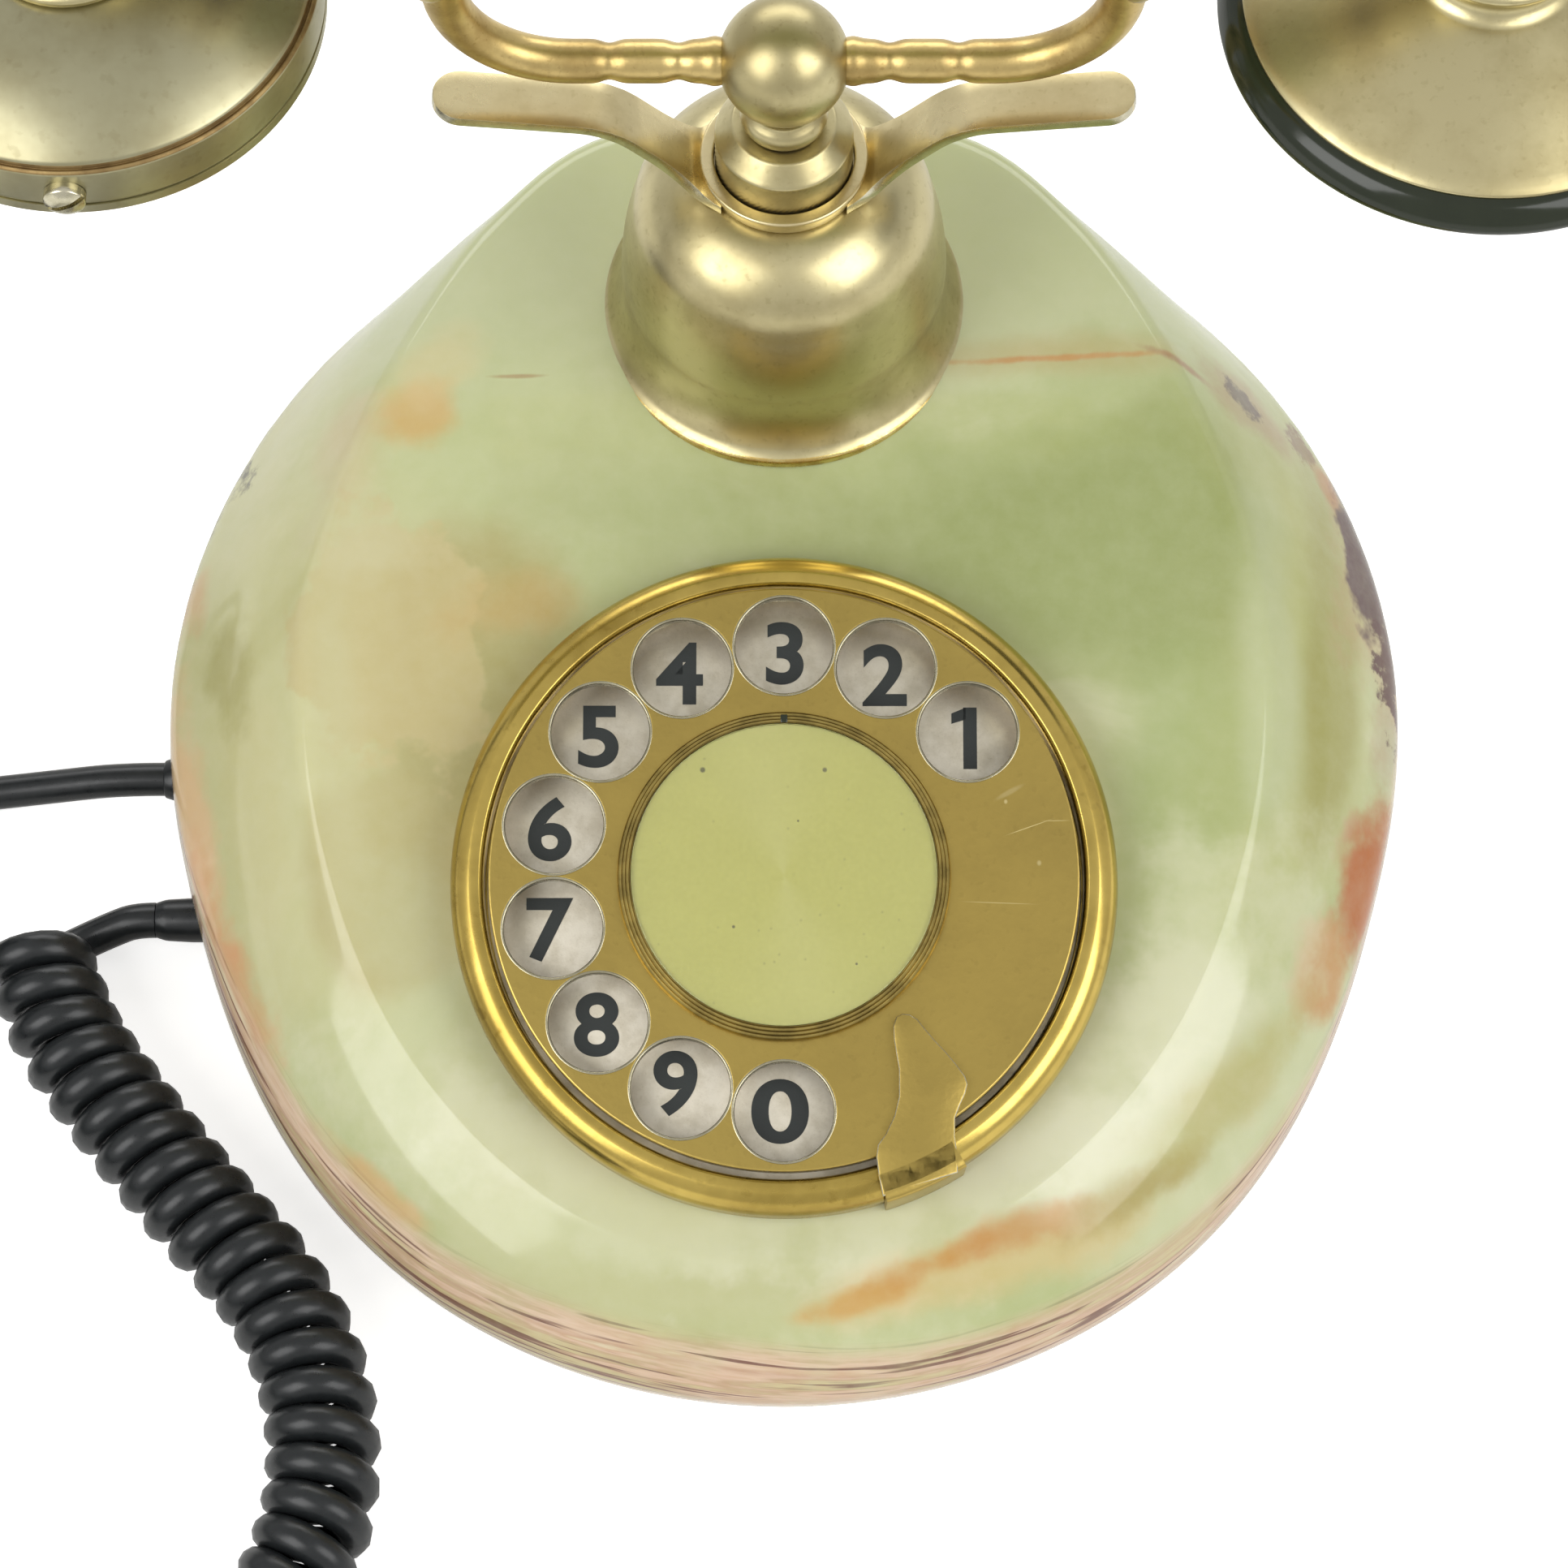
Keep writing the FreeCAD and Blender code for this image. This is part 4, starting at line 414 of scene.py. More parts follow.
def metal(name, clean, dull, grain, amount, smooth=0.25, rough=0.4, strength=0.12, marks=()):
    material, tree, shader, position = newMaterial(name, {"Metallic": 1.0})
    aged = useGroup(tree, agedMetal, Position=position, Clean=colour(*clean), Dull=colour(*dull),
                    Grain=grain, Amount=amount, Smooth=smooth, Rough=rough)
    tint = aged["Color"]
    for centre, size, turnDeg, mark, share in marks:
        tint = tinted(tree, tint, patch(tree, position, centre, size, turnDeg, Edge=0.5), share, mark)
    dressed(tree, shader, tint, aged["Roughness"], aged["Height"], strength)
    return material


def plain(name, light, dark, rough, grain, strength=0.15, distance=0.0002, **uniform):
    material, tree, shader, position = newMaterial(name, uniform)
    mottle = noise(tree, position, grain, 5.0, 0.65)
    dressed(tree, shader, mixColour(tree, mottle, colour(*dark), colour(*light)),
            spread(tree, mottle, 0.3, 0.7, rough * 0.85, min(rough * 1.2, 1.0), "LINEAR"),
            mottle, strength, distance)
    return material


# Green onyx: clouds and folded bands, tan and peach sheets, rust veins and maroon spots; among the patches
# also painted highlights along the ridge and painted shade between the bezel and the bell
onyxLook = {
    "surface": {"Subsurface Weight": 0.22, "Subsurface Radius": (1.0, 0.9, 0.5), "Subsurface Scale": 0.003,
                "IOR": 1.42, "Coat Weight": 0.12, "Coat Roughness": 0.03},
    "deep": (154, 160, 102), "green": (168, 176, 122), "pale": (188, 192, 150), "milk": (206, 206, 174),
    "clouds": [(0.30, "deep"), (0.48, "green"), (0.64, "pale"), (0.80, "milk")],
    # From the foot up: height in mm, colour. They lie round the low wall and fade out above it
    "strata": [(3.0, (168, 156, 118)), (7.0, (186, 172, 134)), (10.0, (172, 148, 114)),
               (12.5, (194, 176, 142)), (14.5, (166, 142, 108)), (16.0, (196, 168, 138)),
               (17.4, (178, 148, 120)), (18.6, (204, 180, 154)), (19.3, (150, 112, 98)),
               (19.7, (212, 198, 168)),
               (20.6, (216, 202, 176)), (21.4, (204, 172, 150)), (22.2, (206, 186, 152)),
               (23.2, (196, 190, 144))],
    "streaks": [(0.28, (110, 70, 58)), (0.36, (166, 140, 104)), (0.43, (190, 180, 132)),
                (0.49, (176, 146, 112)), (0.54, (206, 176, 152)), (0.60, (188, 152, 122)),
                (0.66, (212, 200, 166)), (0.76, (158, 104, 78))],
    "strataTop": 23.6, "strataFade": 3.2, "strataWave": 7.0,
    "strataFront": -18.0, "strataBack": 34.0, "strataLeast": 0.16,
}
# Middle, half sizes in mm, turn about Z in degrees, colour, strength, edge, bend, and the noise that
# bends the edge: 0 coarse, 1 middle, 2 fine
stoneAndLightPatches = [
    ((0, 76, 46), (72, 24, 34), 0, (214, 220, 166), 0.75, 0.5, 0.4, 0),
    ((-68, 2, 40), (23, 60, 26), 0, (198, 190, 144), 0.62, 0.45, 0.5, 0),
    ((-10, -62, 30), (60, 24, 12), 0, (186, 183, 140), 0.65, 0.5, 0.6, 0),
    ((68, 6, 42), (14, 44, 18), 0, (180, 178, 116), 0.62, 0.5, 0.6, 0),
    ((-38, 33, 55), (26, 20, 12), 0, (186, 190, 146), 0.55, 0.7, 0.5, 0),
    ((-40, 58, 56), (26, 16, 12), 0, (184, 188, 150), 0.6, 0.7, 0.5, 0),
    ((38, 62, 56), (26, 15, 12), 0, (176, 180, 138), 0.55, 0.7, 0.5, 0),
    # Painted shade: a darker band on the stone between the back of the bezel and the bell
    ((0, 22, 53), (26, 7, 6), -4, (150, 158, 104), 0.6, 0.7, 0.5, 0),
    ((40, 19, 52), (22, 17, 10), -12, (140, 150, 90), 0.85, 0.5, 0.6, 0),
    ((54, -9, 44), (9, 15, 8), 0, (150, 163, 104), 0.6, 0.5, 0.6, 0),
    # A darker olive-brown patch beside the left side of the bezel
    ((-41, -2, 46), (13, 26, 14), 0, (164, 154, 98), 0.85, 0.25, 0.5, 0),
    ((-52, -24, 41), (13, 16, 12), 20, (176, 167, 116), 0.8, 0.2, 0.6, 0),
    ((-53, 6, 47), (12, 18, 14), 12, (186, 172, 122), 0.75, 0.08, 0.5, 1),
    # Painted highlight: a pale strip along the rounded left ridge
    ((-59, -8, 45), (3.4, 24, 12), 6, (188, 184, 140), 0.55, 0.6, 0.7, 0),
    ((-46, -33, 38), (6, 13, 10), 34, (184, 184, 142), 0.5, 0.5, 0.8, 1),
    ((-58, 20, 52), (9, 4.5, 6), -20, (192, 186, 146), 0.6, 0.5, 0.8, 1),
    ((-34.7, 11.8, 49.7), (9, 3.2, 5), 8, (184, 152, 88), 0.5, 0.7, 0.9, 1),
    ((-51, 37.4, 56), (4.6, 4, 4), 0, (200, 152, 84), 0.62, 0.5, 0.6, 1),
    ((-49, 44, 56.4), (7, 3.4, 3), 35, (204, 184, 134), 0.4, 0.6, 0.7, 1),
    ((-36.4, 42.3, 56.4), (3.6, 0.3, 1), 0, (150, 110, 64), 0.6, 0.5, 0.2, 2),
    ((-59, 35, 53), (4.5, 6, 5), 0, (196, 166, 134), 0.4, 0.7, 0.6, 1),
    ((38, 46.8, 56.5), (17, 2.6, 3), 0, (176, 158, 104), 0.6, 0.8, 0.5, 1),
    ((36, 46.3, 56.5), (13.5, 0.45, 3), 1, (184, 128, 66), 0.75, 0.7, 0.4, 2),
    ((54, 44.6, 54.5), (7, 0.6, 3), -22, (150, 100, 70), 0.7, 0.6, 0.4, 2),
    ((63, 44, 46.5), (9, 5, 6), -20, (160, 132, 94), 0.7, 0.6, 0.8, 1),
    ((61.9, 44.9, 47.4), (3.6, 2.4, 2.8), -20, (84, 56, 50), 0.92, 0.3, 0.9, 2),
    ((70, 44, 37.5), (2.4, 3.4, 3.6), 0, (112, 56, 40), 0.85, 0.3, 0.9, 2),
    ((74.2, 38.5, 35.6), (2.4, 3.2, 2.6), 0, (176, 96, 46), 0.75, 0.5, 0.7, 1),
    ((72, 8, 40), (5.5, 34, 8), 0, (150, 146, 76), 0.8, 0.45, 0.6, 0),
    # Painted highlight: a pale strip along the rounded right ridge
    ((63.5, 4, 46), (3.6, 30, 8), 4, (184, 190, 150), 0.6, 0.6, 0.6, 0),
    ((82, 4, 28.5), (5, 8, 6), 0, (168, 158, 126), 0.65, 0.5, 0.6, 1),
    ((84, -1.5, 22), (4, 7, 5), 0, (204, 164, 116), 0.7, 0.5, 0.7, 1),
    ((80, 24, 29.5), (8, 19, 9.5), 0, (178, 128, 92), 0.55, 0.6, 0.9, 1),
    ((79.5, 27, 31), (7.4, 13, 7.4), 0, (70, 22, 22), 1, 0.16, 0.75, 1),
    ((82.5, 15.5, 28), (6.2, 9.5, 5.2), 0, (76, 26, 24), 0.98, 0.2, 0.9, 2),
    ((79, -17, 25), (7, 11, 8), 0, (168, 90, 14), 1, 0.4, 0.6, 1),
    ((72, -30, 26), (7, 8, 5), 30, (186, 130, 70), 0.8, 0.5, 0.8, 1),
    ((41, -46, 34), (18, 12, 9), 20, (198, 198, 166), 0.5, 0.6, 0.8, 1),
    ((52, -40, 35), (9, 9, 8), 0, (200, 200, 168), 0.55, 0.5, 0.9, 1),
    ((22, -57, 31), (24, 6, 6), 12, (188, 191, 154), 0.55, 0.6, 0.6, 0),
    ((-22, -61, 30), (30, 7, 6), -14, (214, 213, 188), 0.5, 0.8, 1.5, 1),
    ((30, -60, 30), (30, 7, 6), 20, (216, 214, 190), 0.55, 0.8, 1.5, 1),
    ((58, -30, 37), (11, 17, 8), -20, (206, 206, 174), 0.5, 0.8, 1.5, 1),
    ((-6, -66, 28.5), (34, 5, 5), 0, (186, 190, 146), 0.5, 0.6, 0.6, 0),
    ((-30, -59, 29), (20, 4, 5), -28, (190, 190, 150), 0.5, 0.6, 0.7, 1),
    ((-71, -12, 36), (5, 26, 7), 0, (188, 182, 132), 0.6, 0.5, 0.7, 1),
    ((-74, 8, 38.5), (4.5, 8, 4), 0, (158, 152, 94), 0.6, 0.4, 0.8, 1),
    ((28, -70.5, 25.2), (26, 4, 3), 17, (200, 172, 112), 0.6, 0.6, 0.6, 1),
    ((8, -76, 24.8), (9, 1.6, 1.6), 14, (188, 140, 56), 0.8, 0.6, 0.8, 1),
    ((19, -72, 26.3), (9, 1.9, 1.6), 23, (184, 132, 54), 0.78, 0.6, 0.9, 1),
    ((32, -67.3, 27), (10, 2.2, 2), 17, (182, 128, 62), 0.72, 0.6, 0.9, 1),
    ((47, -61, 26.5), (11, 2.8, 3), 32, (156, 138, 66), 0.8, 0.6, 0.8, 1),
    ((59, -48, 28.5), (16, 4.5, 4.5), 44, (168, 160, 88), 0.7, 0.6, 0.7, 1),
    ((-52, -61, 23.6), (13, 2.4, 1.8), -47, (198, 148, 88), 0.65, 0.6, 0.8, 1),
    ((-80.5, -4, 25.5), (6.5, 40, 5.2), 0, (212, 176, 134), 0.85, 0.5, 0.7, 1),
    ((-75.5, -28, 23), (6, 13, 4.2), 22, (206, 148, 104), 0.75, 0.6, 0.9, 1),
    ((-79, 24, 32.5), (3, 5, 3.4), 0, (198, 152, 110), 0.6, 0.5, 0.8, 1),
    ((-73, 40, 35), (2.2, 3.2, 3.6), 0, (70, 62, 58), 0.85, 0.3, 1, 2),
    ((-77.6, 35.3, 31), (2.4, 4.2, 3), 0, (112, 104, 88), 0.8, 0.4, 0.9, 2),
    ((-61, -53, 20), (16, 3.2, 1), -47, (100, 46, 42), 0.9, 0.5, 0.6, 2),
    ((-45, -68, 19.4), (8, 2.5, 0.5), -36, (110, 44, 36), 0.8, 0.5, 0.5, 2),
]


def onyxStrata(tree, position, coarse, middle):
    # Thin layers round the low wall, streaked and broken, and how much of them shows
    look = onyxLook
    parts = add(tree, "SeparateXYZ", {"Vector": position}).outputs
    swing = math(tree, "SUBTRACT", noise(tree, position, 9.0, 1.5, 0.4), 0.5)
    level = math(tree, "ADD", parts[2], math(tree, "MULTIPLY", swing, look["strataWave"] * 2 * millimetre))
    top = look["strata"][-1][0]
    colours = ramp(tree, math(tree, "DIVIDE", level, top * millimetre),
                   [(z / top, tint) for z, tint in look["strata"]], "LINEAR")
    flat = add(tree, "CombineXYZ", {"Z": math(tree, "MULTIPLY", level, 300.0)}).outputs[0]
    long = vector(tree, "ADD", flat, vector(tree, "MULTIPLY", position, (20.0, 20.0, 0.0)))
    streaks = ramp(tree, noise(tree, long, 1.0, 5.0, 0.6), look["streaks"], "LINEAR")
    colours = mixColour(tree, 0.78, colours, streaks)
    lines = noise(tree, vector(tree, "MULTIPLY", long, (1.6, 1.6, 4.2)), 1.0, 2.0, 0.6)
    colours = mixColour(tree, spread(tree, lines, 0.56, 0.63, 0.0, 0.9), colours, colour(104, 58, 50))
    shown = spread(tree, level, look["strataTop"] * millimetre,
                   (look["strataTop"] - look["strataFade"]) * millimetre)
    broken = spread(tree, middle, 0.30, 0.5, 0.8)
    # They show most at the front and thin out into the green towards the back
    reach = math(tree, "ADD", parts[1], math(tree, "MULTIPLY", math(tree, "SUBTRACT", coarse, 0.5), 0.16))
    front = spread(tree, reach, look["strataBack"] * millimetre, look["strataFront"] * millimetre,
                   look["strataLeast"])
    return colours, math(tree, "MULTIPLY", math(tree, "MULTIPLY", shown, broken), front)


def onyxStone(name, patches=(), strata=False, shift=(0, 0, 0)):
    look = onyxLook
    material, tree, shader, position = newMaterial(name, look["surface"])
    shader.subsurface_method = "RANDOM_WALK"
    moved = vector(tree, "ADD", position, metres(shift))
    drift = add(tree, "TexNoise", {"Vector": moved, "Scale": 16.0, "Detail": 3.0}).outputs["Color"]
    push = vector(tree, "SUBTRACT", drift, (0.5, 0.5, 0.5))
    folded = vector(tree, "ADD", moved, vector(tree, "SCALE", push, 0.045))
    placed = vector(tree, "ADD", position, vector(tree, "SCALE", push, 0.009))
    noises = [noise(tree, moved, scale, detail, 0.6)
              for scale, detail in ((26.0, 3.0), (85.0, 4.0), (320.0, 4.0))]
    clouds = noise(tree, folded, 22.0, 7.0, 0.55)
    base = ramp(tree, clouds, [(at, look[shade]) for at, shade in look["clouds"]])
    sheets = add(tree, "Mapping", {"Vector": folded, "Rotation": (0.3, 0.5, 0.6), "Scale": (1.0, 2.6, 1.0)})
    mist = spread(tree, noise(tree, sheets.outputs[0], 30.0, 5.0, 0.55), 0.52, 0.78, 0.0, 0.5)
    base = mixColour(tree, mist, base, colour(*look["milk"]))
    for centre, size, turnDeg, tint, share, edge, bend, grain in patches:
        mask = patch(tree, placed, centre, size, turnDeg, Edge=edge, Bend=bend, Noise=noises[grain])
        base = tinted(tree, base, mask, share, tint)
    if strata:
        layers, shown = onyxStrata(tree, position, noises[0], noises[1])
        base = mixColour(tree, shown, base, layers)
    grains = math(tree, "MULTIPLY", math(tree, "SUBTRACT", noises[2], 0.5), 0.22)
    base = mixColour(tree, math(tree, "ADD", 0.08, grains), base, colour(214, 214, 186))
    dressed(tree, shader, base, scaled(tree, noise(tree, position, 130.0, 4.0), 0.07, 0.17))
    return material


onyx = onyxStone("greenOnyx", stoneAndLightPatches, strata=True)
handleOnyx = onyxStone("handleOnyx", shift=(40, 120, 60))
# Hair scratches on the wheel: middle, half sizes in mm, turn in degrees, colour, strength
wheelMarks = [
    ((31.4, -20.8, 50.7), (2.6, 0.055, 3), 19, (232, 214, 150), 0.75),
    ((34.8, -20, 51), (1.5, 0.05, 3), 1, (232, 214, 150), 0.6),
    ((27.4, -30.3, 48.3), (3.9, 0.05, 3), -2, (228, 210, 148), 0.65),
    ((28.9, -16.4, 52), (1.7, 0.3, 3), 28, (206, 188, 132), 0.5),
    ((28.4, -17.6, 52), (0.2, 0.25, 3), 0, (226, 208, 150), 0.7),
    ((32.6, -25.3, 49.6), (0.25, 0.3, 3), 0, (216, 200, 144), 0.6),
    ((-29.6, -44.6, 44.6), (0.8, 0.25, 3), 35, (206, 190, 136), 0.5),
]
# Metals: clean and dull colour, grain, amount of dulling, roughness where clean and dull, bump
brightBrass = metal("brightBrass", (206, 180, 96), (134, 110, 48), 34, 0.75, 0.20, 0.34)
satinBrass = metal("satinBrass", (198, 187, 144), (150, 137, 96), 70, 0.6, 0.30, 0.42, 0.15)
cupNickel = metal("cupNickel", (172, 167, 136), (136, 128, 96), 45, 0.7, 0.33, 0.42, 0.1)
armBrass = metal("armBrass", (204, 180, 120), (146, 120, 70), 110, 0.7, 0.32, 0.46, 0.3)
seamPatina = metal("seamPatina", (152, 130, 88), (112, 90, 58), 200, 0.8, 0.4, 0.55)
wheelBrass = metal("wheelBrass", (180, 156, 84), (146, 126, 68), 60, 0.5, 0.30, 0.42, 0.5, wheelMarks)
hubBrass = metal("hubBrass", (170, 150, 86), (104, 90, 52), 240, 0.7, 0.3, 0.45)
wornEdge = metal("wornEdge", (208, 202, 178), (150, 144, 112), 300, 0.6, 0.2, 0.35)
goldRim = metal("goldRim", (214, 196, 132), (166, 132, 66), 420, 0.8, 0.2, 0.4)
rimSilver = metal("rimSilver", (172, 166, 142), (124, 117, 92), 300, 0.6, 0.25, 0.4)
wingBrass = metal("wingBrass", (220, 205, 160), (176, 160, 116), 80, 0.6, 0.26, 0.38, 0.15)
silverPlate = metal("silverPlate", (216, 209, 192), (182, 173, 152), 260, 0.6, 0.42, 0.55)
steelParts = metal("steelParts", (190, 190, 188), (140, 138, 132), 200, 0.5)
# The rest: light and dark colour, roughness, grain, bump
magnetCoil = plain("magnetCoil", (120, 70, 40), (84, 44, 26), 0.45, 900)
clearDisc = plain("clearDisc", (250, 250, 245), (245, 245, 240), 0.05, 200, 0.02,
                  **{"Transmission Weight": 1.0})
cordBlack = plain("cordBlack", (32, 35, 36), (21, 23, 24), 0.30, 700, 0.08, **{"Specular IOR Level": 0.4})
blackGloss = plain("blackGloss", (38, 44, 28), (26, 31, 18), 0.14, 120, 0.03, **{"Specular IOR Level": 0.4})
blackFelt = plain("blackFelt", (44, 44, 42), (28, 28, 27), 0.95, 2500, 0.6, 0.0006)
board = plain("boardBrown", (150, 110, 62), (120, 84, 44), 0.5, 500)
plugClear = plain("plugSmoke", (60, 62, 62), (46, 48, 48), 0.2, 300)
numberInk = plain("numberInk", (46, 52, 50), (34, 38, 37), 0.5, 900)
# Specks on the card: middle and half sizes in mm
cardMarks = [((-10.4, -14.2, 53.8), (0.32, 0.32, 3)), ((5.2, -14.2, 53.8), (0.28, 0.28, 3)),
             ((-6.4, -33.8, 47.9), (0.2, 0.2, 3)), ((9.2, -38.4, 46.7), (0.16, 0.16, 3)),
             ((1.8, -20.6, 51.4), (0.14, 0.14, 3))]
cardMiddle = (0, -27.4, 50.8)


def cardFinish():
    # Printed card under the cover, with its specks and a faint painted sheen fanning out through the middle
    material, tree, shader, position = newMaterial("cardGreen", {})
    fine = noise(tree, position, 1500.0, 4.0)
    tint = mixColour(tree, fine, colour(216, 213, 122), colour(230, 227, 136))
    tint = tinted(tree, tint, noise(tree, position, 45.0, 3.0), 0.35, (206, 207, 112))
    parts = add(tree, "SeparateXYZ",
                {"Vector": vector(tree, "SUBTRACT", position, metres(cardMiddle))}).outputs
    # Painted sheen: a lighter fan through the middle of the card, by angle round it
    turn = math(tree, "SUBTRACT", math(tree, "ARCTAN2", parts[1], parts[0]), 1.75)
    paintedSheen = math(tree, "POWER", math(tree, "ABSOLUTE", math(tree, "COSINE", turn)), 7.0)
    tint = tinted(tree, tint, paintedSheen, 0.22, (240, 238, 176))
    for centre, size in cardMarks:
        tint = tinted(tree, tint, patch(tree, position, centre, size, Edge=0.4), 0.85, (96, 92, 58))
    dust = add(tree, "TexVoronoi", {"Vector": position, "Scale": 420.0}).outputs["Distance"]
    tint = mixColour(tree, spread(tree, dust, 0.10, 0.04, 0.0, 0.4, "LINEAR"), tint, colour(176, 172, 104))
    dressed(tree, shader, tint, scaled(tree, fine, 0.36, 0.5), fine, 0.05)
    return material


cardGreen = cardFinish()
print("materials made")


# Mesh helpers

def runOf(*parts, steps=8):
    # A line in the r, z plane: corners, (r, z, rounding) for rounded ones and
    # ((r, z), (r, z)) for an arc through the first to the second
    corners = []
    for part in parts:
        if isinstance(part[0], tuple):
            arc = arcPoints(Vector(corners[-1][:2]), Vector(part[0]), Vector(part[1]), steps)
            corners += [(*p, 0.0) for p in arc]
        else:
            corners.append((*part, 0.0) if len(part) == 2 else part)
    line = []
    for k, (r, z, rounding) in enumerate(corners):
        here = Vector((r, z))
        if not rounding or k in (0, len(corners) - 1):
            line.append(tuple(here))
            continue
        a, b = Vector(corners[k - 1][:2]) - here, Vector(corners[k + 1][:2]) - here
        cut = min(rounding, a.length * 0.49, b.length * 0.49)
        a, b = here + a.normalized() * cut, here + b.normalized() * cut
        line += [tuple(p) for p in interpolate_bezier(a, a.lerp(here, 0.56), b.lerp(here, 0.56), b, 5)]
    return line


def arcPoints(a, b, c, steps):
    # Points after a on the circle through a, b and c
    ax, ay, bx, by, cx, cy = *a, *b, *c
    d = 2 * (ax * (by - cy) + bx * (cy - ay) + cx * (ay - by))
    if abs(d) < 1e-9:
        return [tuple(b), tuple(c)]
    aa, bb, cc = ax * ax + ay * ay, bx * bx + by * by, cx * cx + cy * cy
    ux = (aa * (by - cy) + bb * (cy - ay) + cc * (ay - by)) / d
    uy = (aa * (cx - bx) + bb * (ax - cx) + cc * (bx - ax)) / d
    first, mid, last = (atan2(p.y - uy, p.x - ux) for p in (a, b, c))
    turn = (last - first) % (2 * pi)
    if (mid - first) % (2 * pi) > turn:
        turn -= 2 * pi
    reach = (a - Vector((ux, uy))).length
    return [(ux + reach * cos(first + turn * k / steps), uy + reach * sin(first + turn * k / steps))
            for k in range(1, steps + 1)]


def turned(line, steps=96, closed=False):
    # A line turned about Z; a closed line makes a ring with a wall
    bm = bmesh.new()
    points = [bm.verts.new((r, 0, z)) for r, z in line]
    edges = [bm.edges.new(pair) for pair in zip(points, points[1:] + points[:1] if closed else points[1:])]
    bmesh.ops.spin(bm, geom=points + edges, cent=(0, 0, 0), axis=(0, 0, 1), angle=2 * pi, steps=steps,
                   use_merge=True)
    bmesh.ops.remove_doubles(bm, verts=bm.verts, dist=1e-5)
    bmesh.ops.recalc_face_normals(bm, faces=bm.faces)
    return bm


def ringOf(*parts, steps=96, arcs=8):
    return turned(runOf(*parts, steps=arcs), steps, closed=True)


def shapeFrom(made):
    bm = bmesh.new()
    bm.from_mesh(meshFrom(made))
    return bm


def flatShape(outlines, thick, bevel, sides=2):
    # Closed outlines filled with their holes, as thick as asked, edges rounded: a 2D curve made a mesh
    data = bpy.data.curves.new("flatShape", "CURVE")
    data.dimensions = "2D"
    data.fill_mode = "BOTH"
    data.extrude = thick / 2 - bevel
    data.bevel_depth = bevel
    data.bevel_resolution = sides
    data.offset = -bevel
    for points in outlines:
        spline = data.splines.new("POLY")
        spline.points.add(len(points) - 1)
        for point, (x, y) in zip(spline.points, points):
            point.co = (x, y, 0, 1)
        spline.use_cyclic_u = True
    bm = shapeFrom(newObject("flatShape", data))
    bmesh.ops.remove_doubles(bm, verts=bm.verts, dist=1e-4)
    return bm


def tube(line, r, sides, radii=None):
    return shapeFrom(curveObject("tube", line, kind="POLY", bevel=r, radii=radii, sides=sides))


def ball(r, columns, rings, place):
    bm = bmesh.new()
    bmesh.ops.create_uvsphere(bm, u_segments=columns, v_segments=rings, radius=r, matrix=at(*place))
    return bm


def circlePoints(r, count, middle=(0, 0)):
    return [(middle[0] + r * cos(2 * pi * k / count), middle[1] + r * sin(2 * pi * k / count))
            for k in range(count)]


def joined(*parts):
    whole = parts[0]
    for part in parts[1:]:
        mesh = bpy.data.meshes.new("joining")
        part.to_mesh(mesh)
        part.free()
        whole.from_mesh(mesh)
        bpy.data.meshes.remove(mesh)
    return whole


def moved(bm, matrix):
    bmesh.ops.transform(bm, matrix=matrix, verts=bm.verts)
    return bm


def rounded(bm, edges, by, segments):
    bmesh.ops.bevel(bm, geom=edges, offset=by, offset_type="OFFSET", segments=segments, profile=0.5,
                    affect="EDGES", material=-1, clamp_overlap=True)


def finished(name, bm, material, body, nodes=(), place=None, sharpDeg=38, edging=None):
    # Puts a mesh made in millimetres in its place, in metres, on its body
    moved(bm, Matrix.Scale(millimetre, 4) @ (place or Matrix.Identity(4)))
    mesh = bpy.data.meshes.new(name)
    bm.to_mesh(mesh)
    bm.free()
    mesh.shade_smooth()
    mesh.set_sharp_from_angle(angle=radians(sharpDeg))
    for finish in (material, edging) if edging else (material,):
        mesh.materials.append(finish)
    piece = newObject(name, mesh)
    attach(piece, body)
    if nodes:
        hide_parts(*nodes)
    return piece


def edged(bm, chosen):
    # Gives the chosen faces the piece's second finish
    bm.normal_update()
    for face in bm.faces:
        if chosen(face):
            face.material_index = 1
    return bm


def at(x=0, y=0, z=0):
    return Matrix.Translation((x, y, z))


def turn(angleDeg, axis):
    return Matrix.Rotation(radians(angleDeg), 4, axis)


def mergedCopy(node):
    # A CAD node's surface as one joined mesh, in millimetres
    bm = bmesh.new()
    bm.from_mesh(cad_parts[node].data)
    moved(bm, Matrix.Scale(1 / millimetre, 4))
    bmesh.ops.remove_doubles(bm, verts=bm.verts, dist=1e-4)
    bmesh.ops.dissolve_degenerate(bm, dist=1e-4, edges=bm.edges)
    return bm


neckY, handleZ, cupX = 54.6, 153.0, 84.5
dialY, dialZ, dialTiltDeg = -24.5, 40.0, 15
atNeck = at(0, neckY, 0)
onDial = at(0, dialY, dialZ) @ turn(dialTiltDeg, "X")


# Stone body: rings round the outside, from the foot over the ridge to the middle of the top

stoneBody = {
    "widest": 85.2, "foot": 77.5, "footZ": 1.5, "bulgeZ": 12.0, "wallFront": 15.5, "wallSide": 25.5,
    "wallRear": 39.5, "flatDepth": 4.4, "flatAtDeg": 107.0, "rearSwell": 1.1, "swellAtDeg": 50.0,
    "shoulderSwell": 1.5, "ridgeRound": 3.0, "hillZ": 56.5, "hillBlend": 60.0,
    "ridge": [(0, 85.6), (18, 85.0), (30, 78.4), (45, 70.4), (60, 65.6), (85, 63.7), (110, 63.7),
              (135, 67.0), (160, 70.8), (180, 71.5)],
    "hollow": (74.6, 4.0), "columns": 180, "sideRings": 44, "topRings": 26,
}


